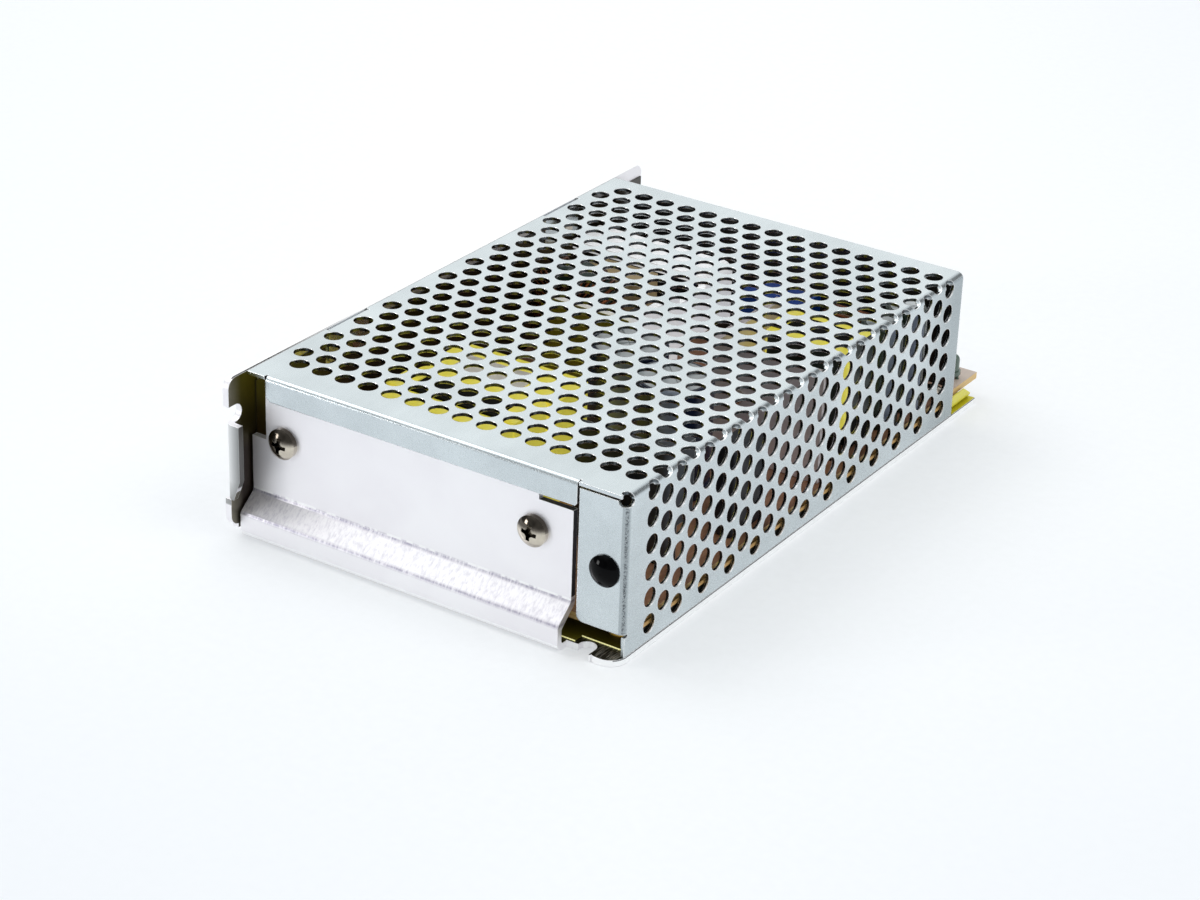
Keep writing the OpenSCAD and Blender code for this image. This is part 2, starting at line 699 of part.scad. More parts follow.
module standoffs() {
    color("#c8b070") for (p = screw_at) translate(p) difference() {
        union() {
            translate([0, 0, plate_t]) cylinder(d = standoff_d, h = standoff_h);
            cylinder(d = standoff_d - 1.5, h = plate_t);
        }
        translate([0, 0, -1]) cylinder(d = small_screw_d + 0.1, h = board_z + 2);
    }
}

// Screws of the board, and those of the two semiconductors on the heat sinks
module inner_screws() {
    color("#b9b2a6") {
        for (p = screw_at) translate([p[0], p[1], board_top])
            pan_screw(small_screw_d, small_head_d, 2, board_top - 0.6);
        translate([rectifier_at[0], output_sink[1] + sink_t + tr_tab_t, tab_hole_z]) rotate([-90, 0, 0])
            pan_screw(small_screw_d, small_head_d, 2, 7);
        translate([switch_at[0], primary_sink[1] - tr_tab_t, tab_hole_z]) rotate([90, 0, 0])
            pan_screw(small_screw_d, small_head_d, 2, 7);
    }
}

// Section of the terminal block, seen from the side: floor, foot and high back wall,
// with the wall between two poles or with the slot of a terminal plate
module block_section(fin, slot) {
    top = board_top + block_h - 1;
    difference() {
        union() {
            translate([block_front, board_top]) square([block_d, block_floor]);
            translate([block_front, board_top]) square([wall_back - block_front, block_floor + 3]);
            translate([wall_back - back_t, board_top]) square([back_t, back_top - board_top]);
            if (fin)
                polygon([[wall_back - 1, pole_z - 1], [block_rear, pole_z - 1], [block_rear, pole_z + 5.5],
                         [block_rear - 3.6, top], [wall_back - 1, top]]);
        }
        if (slot) {
            translate([block_front + 1.7, pole_z - 0.05])
                square([wall_back - block_front, term_plate_t + 0.15]);
            translate([block_front + 1.8, board_top - 1]) square([1.2, block_floor + 2]);
        }
    }
}

// One moulding; its back wall runs on to both sides and closes the case's end
module terminal_block() {
    side_t = 1.2;
    color("#1c1d20") difference() {
        union() {
            for (x = [block_x, block_x + block_w - 2.5]) sheet_yz(x, 2.5) block_section(true, false);
            for (i = [1:poles]) {
                x0 = pole_x(i) - pole_pitch / 2 + fin_t / 2;
                x1 = pole_x(i) + pole_pitch / 2 - fin_t / 2;
                for (x = [x0, x1 - side_t]) sheet_yz(x, side_t) block_section(false, false);
                sheet_yz(x0 + side_t, x1 - x0 - 2 * side_t) block_section(false, true);
            }
            for (i = [0:poles])
                sheet_yz(pole_x(i) + pole_pitch / 2 - fin_t / 2, fin_t) block_section(true, false);
            for (x = [[board_left + 0.5, block_x + 1], [block_x + block_w - 1, board_right - 2.8]])
                block(x[0], x[1], wall_back - back_t, wall_back, board_top, back_top);
        }
        for (i = [1:poles]) translate([pole_x(i), pole_y, board_top - 1])
            cylinder(d = term_screw_d + 0.8, h = block_floor + 2);
    }
}

// Seven plates, each folded down into a solder leg
module terminal_plates() {
    plate_w = pole_pitch - fin_t - 2.6;
    color("#c9c2b4") for (i = [1:poles]) {
        translate([pole_x(i), 0, pole_z]) linear_extrude(term_plate_t) difference() {
            translate([-plate_w / 2, block_front + 1.9]) square([plate_w, block_d - 2.3]);
            translate([0, pole_y]) circle(d = term_screw_d + 2 * run_gap);
        }
        block(pole_x(i) - 0.9, pole_x(i) + 0.9, block_front + 1.9, block_front + 2.9, lead_z, pole_z + 0.5);
    }
}

// Square clamp washer, held on its screw and kept from turning by the block's fins
module terminal_clamp(i) {
    w = pole_pitch - fin_t - 0.5;
    color("#cfc9bb") translate([pole_x(i), pole_y, pole_z + term_plate_t])
        linear_extrude(clamp_t) difference() {
            rounded(-w / 2, w / 2, -3.6, 3.6, 0.6);
            circle(d = term_screw_d + 2 * run_gap);
        }
}

module terminal_screw(i) {
    color("#c6bfae") translate([pole_x(i), pole_y, pole_z + term_plate_t + clamp_t]) rotate(i * 37)
        pan_screw(term_screw_d, 6, 2.4, term_screw_l);
}

module trimmer_body() {
    color("#2b5fb0") difference() {
        translate([trim[0] - trim_w / 2, trim[1] - trim_w / 2, board_top])
            cube([trim_w, trim_w, trim_top - board_top]);
        translate([trim[0], trim[1], trim_top - 2.6]) cylinder(d = 4.2, h = 3);
        for (p = trim_pins) translate([p[0], p[1], board_top - 1]) cylinder(d = lead_d, h = 2);
    }
    color("#2b5fb0") leads(trim_pins, board_top + 1);
}

module trimmer_rotor() {
    color("#e8e8e2") translate([trim[0], trim[1], trim_top - 2.6]) difference() {
        cylinder(d = 4.2 - 2 * run_gap, h = 2.9);
        for (a = [0, 90]) rotate(a) translate([-1.6, -0.35, 1.9]) cube([3.2, 0.7, 2]);
    }
}

module indicator_led() {
    color("#4fae52") {
        translate([led_at[0], led_at[1], board_top + 1]) cylinder(d = 3.8, h = 1);
        translate([led_at[0], led_at[1], board_top + 2]) cylinder(d = 3, h = 2.6);
        translate([led_at[0], led_at[1], board_top + 4.6]) sphere(d = 3);
        leads(led_pins, board_top + 1.2);
    }
}

fuse_z = board_top + 3.6;
fuse_d = 4.8;
cap_l = 4.9;
module fuse_tube() {
    color("#d8e4e4") translate([fuse_at[0] - fuse_l / 2 + 0.8, fuse_at[1], fuse_z]) rotate([0, 90, 0])
        difference() {
            cylinder(d = fuse_d, h = fuse_l - 1.6);
            translate([0, 0, -1]) cylinder(d = fuse_d - 1.4, h = fuse_l);
        }
}

// Two end caps with leads bent down into the board
module fuse_caps() {
    color("#c8ccd0") for (s = [0, 1]) translate([fuse_at[0], fuse_at[1], 0]) mirror([s, 0, 0]) {
        translate([fuse_l / 2 - cap_l, 0, fuse_z]) rotate([0, 90, 0]) difference() {
            cylinder(d = fuse_d + 0.6, h = cap_l);
            translate([0, 0, -0.8]) cylinder(d = fuse_d + fit_gap, h = cap_l + 0.1);
        }
        translate([fuse_l / 2 - 0.1, 0, fuse_z]) rotate([0, 90, 0]) cylinder(d = lead_d, h = 1.2);
        translate([fuse_l / 2 + 0.7, 0, lead_z]) cylinder(d = lead_d, h = fuse_z - lead_z + lead_d / 2);
    }
}

// Dipped disc on two leads, standing across the case or along it
module disc(at, d, t, turn, pins) {
    r = t * 0.45;
    translate([at[0], at[1], board_top + d / 2 + 1.6]) rotate([90, 0, turn]) rotate_extrude() {
        translate([0, -t / 2]) square([d / 2 - r, t]);
        intersection() {
            translate([d / 2 - r, 0]) circle(t / 2);
            translate([0, -t]) square([d, 2 * t]);
        }
    }
    leads(pins, board_top + d / 2 + 1.6);
}

module thermistor() {
    color("#23241f") disc(ntc_at, ntc_d, ntc_d * 0.4, 0, ntc_pins);
}

module safety_capacitors() {
    color("#3168a8") for (i = [0, 1])
        disc(safety_at[i], safety_d, safety_d * 0.4, 90, [safety_pins[2 * i], safety_pins[2 * i + 1]]);
}

// Moulded capacitor box with feet and small edge radii
module boxed_cap(at, size, pins) {
    fx = size[0] / 2 - 1.4;
    fy = size[1] / 2 - 1;
    translate([at[0], at[1], board_top + 0.5]) linear_extrude(size[2])
        rounded(-size[0] / 2, size[0] / 2, -size[1] / 2, size[1] / 2, 0.7);
    for (x = [-fx, fx], y = [-fy, fy])
        translate([at[0] + x, at[1] + y, board_top]) cylinder(d = 1.2, h = 1);
    leads(pins, board_top + 1);
}

module line_capacitor() {
    color("#d9c9a0") boxed_cap(line_cap_at, line_cap_size, line_cap_pins);
}

module blue_capacitor() {
    color("#2d58a8") boxed_cap(blue_at, blue_size, blue_pins);
}

module film_capacitor() {
    color("#8fa0b8") boxed_cap(film_cap_at, film_cap_size, film_cap_pins);
}

// Standing ring: core and a coil that turns round it, wire_t thick
wire_t = 1.15;
core_gap = 0.05;
module ring_core(r, w) {
    rotate_extrude($fn = 72) translate([r / 2 + 0.2, wire_t - w / 2 + core_gap])
        square([r / 2 - wire_t - 0.2 - core_gap, w - 2 * wire_t - 2 * core_gap]);
}

module ring_coil(r, w, angle) {
    rotate_extrude(angle = angle, $fn = 72) difference() {
        translate([r / 2 - wire_t + 0.15, -w / 2]) square([r / 2 + wire_t - 0.15, w]);
        translate([r / 2 + 0.15, wire_t - w / 2]) square([r / 2 - wire_t - 0.15, w - 2 * wire_t]);
    }
}

line_choke_z = board_top + line_choke_r + 2;
module line_choke_core() {
    color("#2f3a33") translate([line_choke_at[0], line_choke_at[1], line_choke_z]) rotate([90, 0, 0])
        ring_core(line_choke_r, line_choke_w);
}

// Two half windings
module line_choke_winding() {
    color("#b4672f") {
        translate([line_choke_at[0], line_choke_at[1], line_choke_z]) rotate([90, 0, 0])
            for (a = [-65, 115]) rotate(a) ring_coil(line_choke_r, line_choke_w, 130);
        leads(line_choke_pins, line_choke_z - line_choke_r * 0.75);
    }
}

choke_z = board_top + choke_r + 1.2;
module output_choke_core() {
    color("#c8a028") translate([choke_at[0], choke_at[1], choke_z]) rotate([90, 0, 90])
        ring_core(choke_r, choke_w);
}

// One winding, open at the side
module output_choke_winding() {
    color("#b4672f") {
        translate([choke_at[0], choke_at[1], choke_z]) rotate([90, 0, 90])
            rotate(-60) ring_coil(choke_r, choke_w, 300);
        leads(choke_pins, choke_z - choke_r * 0.72);
    }
}

// Electrolytic can with a rolled neck and a pressed vent in its top
module can(at, d, h, pins) {
    neck_z = board_top + 3.2;
    translate([at[0], at[1], 0]) difference() {
        rotate_extrude($fn = 72) difference() {
            union() {
                translate([0, board_top + 0.3]) square([d / 2, h - 0.3 - 0.8]);
                translate([0, board_top + 0.3]) square([d / 2 - 0.8, h - 0.3]);
                translate([d / 2 - 0.8, board_top + h - 0.8]) circle(0.8);
            }
            translate([d / 2 + 0.2, neck_z]) circle(0.7);
        }
        for (a = [45, -45]) rotate(a)
            translate([-d * 0.39, -0.2, board_top + h - 0.25]) cube([d * 0.78, 0.4, 1]);
    }
    leads(pins, board_top + 1);
}

module bulk_capacitor_front() {
    color("#23304f") can(cap_front_at, cap_d, tall_z - board_top, cap_front_pins);
}

module bulk_capacitor_rear() {
    color("#23304f") can(cap_rear_at, cap_d, tall_z - board_top, cap_rear_pins);
}

module output_capacitors() {
    color("#1f3a2c") for (i = [0, 1])
        can(out_caps_at[i], out_cap_d, out_cap_h, [out_cap_pins[2 * i], out_cap_pins[2 * i + 1]]);
}

// Core of two E halves on end: a ring with a middle leg, drawn from the front
module ee_core(at, w, depth, z0, z1, leg) {
    sheet_xz(at[1] - depth / 2, depth) difference() {
        translate([at[0] - w / 2, z0]) square([w, z1 - z0]);
        for (s = [0, 1]) translate([at[0], 0]) mirror([s, 0])
            translate([leg / 2, z0 + leg / 2]) square([w / 2 - leg, z1 - z0 - leg]);
    }
}

// Bobbin: a tube round the middle leg, two flanges and a pin foot on each side
module ee_bobbin(at, w, depth, z0, z1, leg, span, pins) {
    wall = 0.8;
    zl = z0 + leg / 2 + fit_gap;
    zh = z1 - leg / 2 - fit_gap;
    tx = leg / 2 + fit_gap;
    ty = depth / 2 + fit_gap;
    fx = w / 2 - leg / 2 - fit_gap;
    foot = w / 2 - 2;
    difference() {
        translate([at[0], at[1], 0]) union() {
            block(-tx - wall, tx + wall, -ty - wall, ty + wall, zl, zh);
            block(-fx, fx, -span / 2, span / 2, zl, zl + wall);
            block(-fx, fx, -ty - wall, ty + wall, zh - wall, zh);
            for (s = [0, 1]) mirror([0, s]) block(-foot, foot, ty + 0.4, span / 2, board_top, zl + wall);
        }
        translate([at[0], at[1], 0]) block(-tx, tx, -ty, ty, z0, z1);
    }
    leads(pins, board_top + 2);
}

// Taped coil: it fills the windows, stands up beside the core, and its tape runs on
// over both ends of the core's upper bar
module ee_winding(at, w, depth, z0, z1, leg, span, r) {
    wall = 0.9;
    tape = 0.35;
    zl = z0 + leg / 2 + fit_gap + wall;
    zh = z1 - leg / 2 - fit_gap - wall;
    tx = leg / 2 + fit_gap + wall;
    ty = depth / 2 + fit_gap;
    bare = w * 0.36;
    translate([at[0], at[1], 0]) difference() {
        union() {
            translate([0, 0, zl]) linear_extrude(z1 - 0.5 - zl)
                rounded(-w / 2, w / 2, -span / 2 + 0.2, span / 2 - 0.2, r);
            for (s = [0, 1]) mirror([s, 0])
                block(bare, w / 2 + tape, -ty - 1, ty + 1, zl + 3, z1 + tape);
        }
        block(-tx, tx, -ty - wall, ty + wall, z0, zh);
        block(leg / 2 - w / 2, w / 2 - leg / 2, -ty - wall - 0.1, ty + wall + 0.1, zh, z1 - leg / 2);
        block(-w / 2 - 0.03, w / 2 + 0.03, -ty, ty, z1 - leg / 2 - 0.03, z1 + 0.03);
        block(-bare, bare, -ty, ty, z1 - 1, z1 + 1);
        for (s = [0, 1]) mirror([s, 0]) block(w / 2 - leg / 2 - 0.1, w / 2 + 0.03, -ty, ty, z0, z1);
    }
}

main_z = board_top + 2;
main_w = main_size[0] - 1;
module main_transformer_core() {
    color("#3a3b3e") ee_core(main_at, main_w, main_core, main_z, tall_z, main_leg);
}

module main_transformer_bobbin() {
    color("#26262a")
        ee_bobbin(main_at, main_w, main_core, main_z, tall_z, main_leg, main_size[1], main_pins);
}

module main_transformer_winding() {
    color("#e3c23c") ee_winding(main_at, main_w, main_core, main_z, tall_z, main_leg, main_size[1], 2.5);
}

output_w = output_size[0];
module output_transformer_core() {
    color("#3a3b3e") ee_core(output_at, output_w, output_core, main_z, tall_z, output_leg);
}

module output_transformer_bobbin() {
    color("#26262a")
        ee_bobbin(output_at, output_w, output_core, main_z, tall_z, output_leg, output_size[1],
                  output_pins);
}

module output_transformer_winding() {
    color("#e3c23c")
        ee_winding(output_at, output_w, output_core, main_z, tall_z, output_leg, output_size[1], 2);
}

// Second transformer, wholly wrapped in tape, on a pin foot
module drive_transformer() {
    w = drive_size[0];
    d = drive_size[1];
    color("#e3c23c") {
        translate([drive_at[0], drive_at[1], board_top + 3]) linear_extrude(tall_z - 0.6 - board_top - 3)
            rounded(-w / 2, w / 2, -d / 2, d / 2, 2);
        translate([drive_at[0], drive_at[1], 0]) difference() {
            block(-w / 2 + 2, w / 2 - 2, -d / 2 + 1, d / 2 - 1, board_top, board_top + 3);
            block(-w / 2 + 6, w / 2 - 6, -d, d, board_top - 1, board_top + 2);
        }
        leads(drive_pins, board_top + 2);
    }
}

// Transistor with a stepped tab, its back at y = 0, seen from the front
module transistor(x, y, z) {
    translate([x, y, z]) difference() {
        union() {
            sheet_xz(0, tr_t) translate([-tr_w / 2, 0]) square([tr_w, tr_h]);
            sheet_xz(0, tr_tab_t) translate([-tr_w / 2, tr_h]) square([tr_w, tr_tab_h]);
        }
        translate([0, -1, tr_h + 3.3]) rotate([-90, 0, 0]) cylinder(d = 3.2, h = tr_t + 2);
    }
}

module clamped_transistors() {
    color("#1d1e20") {
        for (x = clamped_x) transistor(x, pad_y, board_top + tr_lift);
        leads(clamped_pins, board_top + tr_lift + 0.5);
    }
}

module thermal_pad() {
    color("#b8b6b0") sheet_xz(plate_in, film_t)
        translate([clamped_x[0] - 6.5, board_top + tr_lift - 1.5])
            square([clamped_x[3] - clamped_x[0] + 13, tr_h + tr_tab_h + 3]);
}

// Steel bar that presses the transistors against the end plate
module clamp_bar() {
    color("#aeb2b6") sheet_xz(bar_y, bar_t) difference() {
        bar_top = end_screw_z + 2.8;
        rounded(end_screws_x[0] - 4, end_screws_x[1] + 4, bar_top - bar_h, bar_top, 1.5);
        for (x = end_screws_x) translate([x, end_screw_z]) circle(d = end_screw_d + 0.1);
    }
}

// Upright plate with a return flange, in front of the front capacitor
module primary_heatsink() {
    r = sink_t + 0.6;
    x1 = primary_sink[0] + 24.6 * m;
    z0 = board_top + 0.3;
    color("#4a4c50") {
        sheet_xz(primary_sink[1], sink_t) difference() {
            translate([primary_sink[0], z0]) square([x1 - r - primary_sink[0], tall_z - z0]);
            translate([switch_at[0], tab_hole_z]) circle(d = small_screw_d + 0.1);
        }
        translate([x1 - r, primary_sink[1] + r, z0]) linear_extrude(tall_z - z0) rotate(-90)
            bend_section(r, sink_t);
        sheet_yz(x1 - sink_t, sink_t) translate([primary_sink[1] + r, 15]) square([6 * m, tall_z - 15]);
        leads(primary_pins, board_top + 1, sink_t - 0.1);
    }
}

// Bright sheet with a shelf: along the case, across it, and flat over the line capacitor
module shelf_heatsink() {
    x1 = at(-6, 0)[0];
    r = sink_t + 0.6;
    z0 = board_top + 0.3;
    y0 = shelf_sink[1] + r;
    y1 = shelf_sink[1] + 42 * my;
    shelf_y = shelf_sink[1] + 30 * my;
    color("#d8dadc") {
        sheet_xz(shelf_sink[1], sink_t)
            translate([shelf_sink[0], z0]) square([x1 - r - shelf_sink[0], shelf_z - z0]);
        translate([x1 - r, y0, z0]) linear_extrude(shelf_z - z0) rotate(-90) bend_section(r, sink_t);
        sheet_yz(x1 - sink_t, sink_t) union() {
            translate([y0, z0]) square([16 * my, shelf_z - z0]);
            translate([y0 + 15 * my, 16]) square([y1 - y0 - 15 * my, shelf_z - r - 16]);
        }
        translate([x1 - r, y1, shelf_z - r]) rotate([90, 0, 0]) linear_extrude(y1 - shelf_y)
            bend_section(r, sink_t);
        translate([0, 0, shelf_z - sink_t]) linear_extrude(sink_t)
            rounded(line_cap_at[0] - 9 * m, x1 - r + 0.01, shelf_y, y1, 0.5);
        leads(shelf_pins, board_top + 1, sink_t - 0.1);
    }
}

// Sheet film in front of that heat sink
module heatsink_film() {
    color("#b9b54a") sheet_xz(shelf_sink[1] - film_t, film_t)
        translate([shelf_sink[0] - 2, board_top + 0.4]) square([24 * m, shelf_z - board_top - 1.2]);
}

// Upright angle that carries the output rectifier
module output_heatsink() {
    r = sink_t + 0.6;
    z0 = board_top + 0.3;
    color("#c9bfc0") {
        sheet_xz(output_sink[1], sink_t) difference() {
            translate([output_sink[0] + r, z0])
                square([board_right - 1 - output_sink[0] - r, tall_z - z0]);
            translate([rectifier_at[0], tab_hole_z]) circle(d = small_screw_d + 0.1);
        }
        translate([output_sink[0] + r, output_sink[1] + r, z0]) linear_extrude(tall_z - z0) rotate(180)
            bend_section(r, sink_t);
        sheet_yz(output_sink[0], sink_t)
            translate([output_sink[1] + r, z0]) square([30 * my - r, tall_z - z0]);
        leads(output_pins_of_sink, board_top + 1, sink_t - 0.1);
    }
}

// Rectifier behind the output heat sink, and switch in front of the primary one
module screwed_semiconductors() {
    color("#1d1e20") {
        transistor(rectifier_at[0], output_sink[1] + sink_t, board_top + 3);
        leads(rectifier_pins, board_top + 3.5);
        translate([0, primary_sink[1], 0]) mirror([0, 1, 0]) transistor(switch_at[0], 0, board_top + 3);
        leads(switch_pins, board_top + 3.5);
    }
}

module bridge_rectifier() {
    y0 = bridge_at[1] - bridge_l / 2;
    y1 = bridge_at[1] + bridge_l / 2;
    color("#1d1e20") {
        sheet_yz(bridge_at[0] - 1.75, 3.5)
            polygon([[y0, board_top + 4], [y1, board_top + 4], [y1, board_top + 15],
                     [y0 + 2, board_top + 15], [y0, board_top + 13]]);
        leads(bridge_pins, board_top + 4.5);
    }
}

// Chip with a pin-one mark, its pins bent down through the board
module control_ic() {
    w = 9.6;
    d = 6.2;
    pin_z = board_top + 2;
    color("#202124") {
        translate([ic_at[0], ic_at[1], 0]) difference() {
            block(-w / 2, w / 2, -d / 2, d / 2, board_top + 0.5, board_top + 3.9);
            translate([-w / 2, 0, board_top + 3.4]) cylinder(d = 1.6, h = 1);
        }
        for (p = ic_pins) translate([p[0], p[1], 0]) {
            y = p[1] > ic_at[1] ? -0.8 : 0;
            block(-0.25, 0.25, y - 0.15, y + 0.95, pin_z, pin_z + 0.25);
            block(-0.25, 0.25, -0.15, 0.15, lead_z + 0.3, pin_z + 0.25);
        }
    }
}

// Resistors lying on the board: a waisted body and leads bent down
module resistors() {
    body_l = resistor_span * 0.51;
    wire_d = lead_d * 0.8;
    color("#c9b184") for (c = resistors_at) translate([c[0], c[1], 0]) {
        translate([-body_l / 2, 0, board_top + 1.6]) rotate([0, 90, 0]) {
            cylinder(d = 2.2, h = body_l);
            for (z = [0, body_l - 1.6]) translate([0, 0, z]) cylinder(d = 2.6, h = 1.6);
            translate([0, 0, (body_l - resistor_span) / 2]) cylinder(d = wire_d, h = resistor_span);
        }
        for (s = [-1, 1]) translate([s * resistor_span / 2, 0, lead_z])
            cylinder(d = wire_d, h = board_top + 1.6 - lead_z + wire_d / 2);
    }
}

chassis();
cover();
insulating_film();
end_plate_screws();
corner_plug();
cover_screws();
circuit_board();
standoffs();
inner_screws();
terminal_block();
terminal_plates();
for (i = [1:poles]) {
    terminal_clamp(i);
    terminal_screw(i);
}
trimmer_body();
trimmer_rotor();
indicator_led();
fuse_tube();
fuse_caps();
thermistor();
line_capacitor();
line_choke_core();
line_choke_winding();
safety_capacitors();
bulk_capacitor_front();
bulk_capacitor_rear();
main_transformer_core();
main_transformer_bobbin();
main_transformer_winding();
drive_transformer();
output_transformer_core();
output_transformer_bobbin();
output_transformer_winding();
clamped_transistors();
thermal_pad();
clamp_bar();
primary_heatsink();
shelf_heatsink();
output_heatsink();
screwed_semiconductors();
heatsink_film();
output_choke_core();
output_choke_winding();
output_capacitors();
film_capacitor();
blue_capacitor();
bridge_rectifier();
control_ic();
resistors();
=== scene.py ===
"""Dresses the mesh case switching power supply and sets it up for a product photograph.

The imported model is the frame: its sheets, board and parts keep their shapes and get their
finishes here. The turns of wire on the two chokes, which the solids leave plain, and a bare
label are added on top of them.
"""

import logging
import math
from dataclasses import dataclass
from enum import Enum
from functools import cached_property, reduce

import bpy
from mathutils import Matrix, Vector


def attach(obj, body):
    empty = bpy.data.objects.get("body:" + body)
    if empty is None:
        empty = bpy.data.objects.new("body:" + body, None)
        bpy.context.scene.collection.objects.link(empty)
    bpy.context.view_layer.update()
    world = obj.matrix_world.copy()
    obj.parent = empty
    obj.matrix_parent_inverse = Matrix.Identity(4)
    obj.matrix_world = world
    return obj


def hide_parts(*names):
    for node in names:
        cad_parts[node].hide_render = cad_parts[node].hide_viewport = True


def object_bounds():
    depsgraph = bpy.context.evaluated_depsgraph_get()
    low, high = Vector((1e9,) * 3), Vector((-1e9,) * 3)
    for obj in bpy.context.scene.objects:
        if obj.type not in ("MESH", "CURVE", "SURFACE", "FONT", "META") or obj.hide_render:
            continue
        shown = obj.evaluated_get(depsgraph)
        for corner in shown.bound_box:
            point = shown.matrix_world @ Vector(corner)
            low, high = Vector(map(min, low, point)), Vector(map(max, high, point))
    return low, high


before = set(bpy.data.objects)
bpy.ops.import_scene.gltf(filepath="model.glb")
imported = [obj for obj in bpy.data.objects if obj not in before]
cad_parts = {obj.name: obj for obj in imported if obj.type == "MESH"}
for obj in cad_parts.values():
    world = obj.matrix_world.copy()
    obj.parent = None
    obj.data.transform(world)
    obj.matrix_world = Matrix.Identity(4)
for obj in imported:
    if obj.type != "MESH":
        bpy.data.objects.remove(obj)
CAD_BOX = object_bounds()

LOG = logging.getLogger("power_supply")
Socket = bpy.types.NodeSocket
WHITE = "#ffffff"
MM = 0.001

# The case in millimetres, from the frame; the board's overhang at the rear shifts its middle
(LEFT, FRONT, _), (RIGHT, BOARD_REAR, TOP) = ([round(v / MM, 3) for v in corner] for corner in CAD_BOX)
OVERHANG = 4.1
REAR = BOARD_REAR - OVERHANG
MID_Y = (FRONT + REAR) / 2
# The board's upper face, and the lower ends of the leads that come through it
BOARD_TOP = 6.1
LEAD_Z = 3.5


class Axis(Enum):
    """A direction of the case: across it, along it, or up."""

    X = 0
    Y = 1
    Z = 2


def linear(code: str) -> tuple[float, float, float, float]:
    """Turns an sRGB hex colour into linear light.

    Args:
        code: Six hex digits, with or without a leading hash.

    Returns:
        Red, green, blue and an alpha of one.
    """
    code = code.lstrip("#")
    parts = []
    for i in (0, 2, 4):
        c = int(code[i:i + 2], 16) / 255
        parts.append(c / 12.92 if c <= 0.04045 else ((c + 0.055) / 1.055) ** 2.4)
    return (*parts, 1.0)


# Materials


class Nodes:
    """A node tree, with short ways to add to it."""

    def __init__(self, tree: bpy.types.NodeTree) -> None:
        """Starts from a tree.

        Args:
            tree: The tree to add to.
        """
        self.tree = tree

    def add(self, kind: str, links: dict | None = None, inputs: dict | None = None, **settings):
        """Adds a node with its settings, values and links.

        Args:
            kind: The node's type.
            links: Socket name or index to the output socket that feeds it.
            inputs: Socket name or index to its value.
            **settings: Attributes of the node.

        Returns:
            The new node.
        """
        node = self.tree.nodes.new(kind)
        for key, value in settings.items():
            setattr(node, key, value)
        for key, value in (inputs or {}).items():
            node.inputs[key].default_value = value
        for key, socket in (links or {}).items():
            self.tree.links.new(socket, node.inputs[key])
        return node

    def maths(self, operation: str, *values: Socket | float) -> Socket:
        """One arithmetic step on sockets or numbers."""
        node = self.add("ShaderNodeMath", operation=operation)
        for index, value in enumerate(values):
            if isinstance(value, (int, float)):
                node.inputs[index].default_value = value
            else:
                self.tree.links.new(value, node.inputs[index])
        return node.outputs[0]

    def remap(self, socket: Socket, low: float, high: float, to_low: float = 0.0,
              to_high: float = 1.0) -> Socket:
        """Maps one range to another and clamps it."""
        return self.add("ShaderNodeMapRange", {"Value": socket},
                        {"From Min": low, "From Max": high, "To Min": to_low,
                         "To Max": to_high}).outputs["Result"]

    def between(self, socket: Socket, low: float, high: float, soft: float) -> Socket:
        """A mask that is one where a number lies in a range, with soft ends."""
        return self.both(self.remap(socket, low - soft, low + soft),
                         self.remap(socket, high - soft, high + soft, 1.0, 0.0))

    def over(self, value: Socket, limit: float) -> Socket:
        """A mask that is one where a value is above a limit."""
        return self.maths("GREATER_THAN", value, limit)

    def under(self, value: Socket, limit: float) -> Socket:
        """A mask that is one where a value is below a limit."""
        return self.maths("LESS_THAN", value, limit)

    def size(self, value: Socket) -> Socket:
        """A value without its sign."""
        return self.maths("ABSOLUTE", value)

    def both(self, *values: Socket | float) -> Socket:
        """The product of two or more masks or numbers."""
        return reduce(lambda a, b: self.maths("MULTIPLY", a, b), values)

    def either(self, *values: Socket | float) -> Socket:
        """The greatest of two or more masks or numbers."""
        return reduce(lambda a, b: self.maths("MAXIMUM", a, b), values)

    def total(self, *values: Socket | float) -> Socket:
        """The sum of two or more numbers."""
        return reduce(lambda a, b: self.maths("ADD", a, b), values)


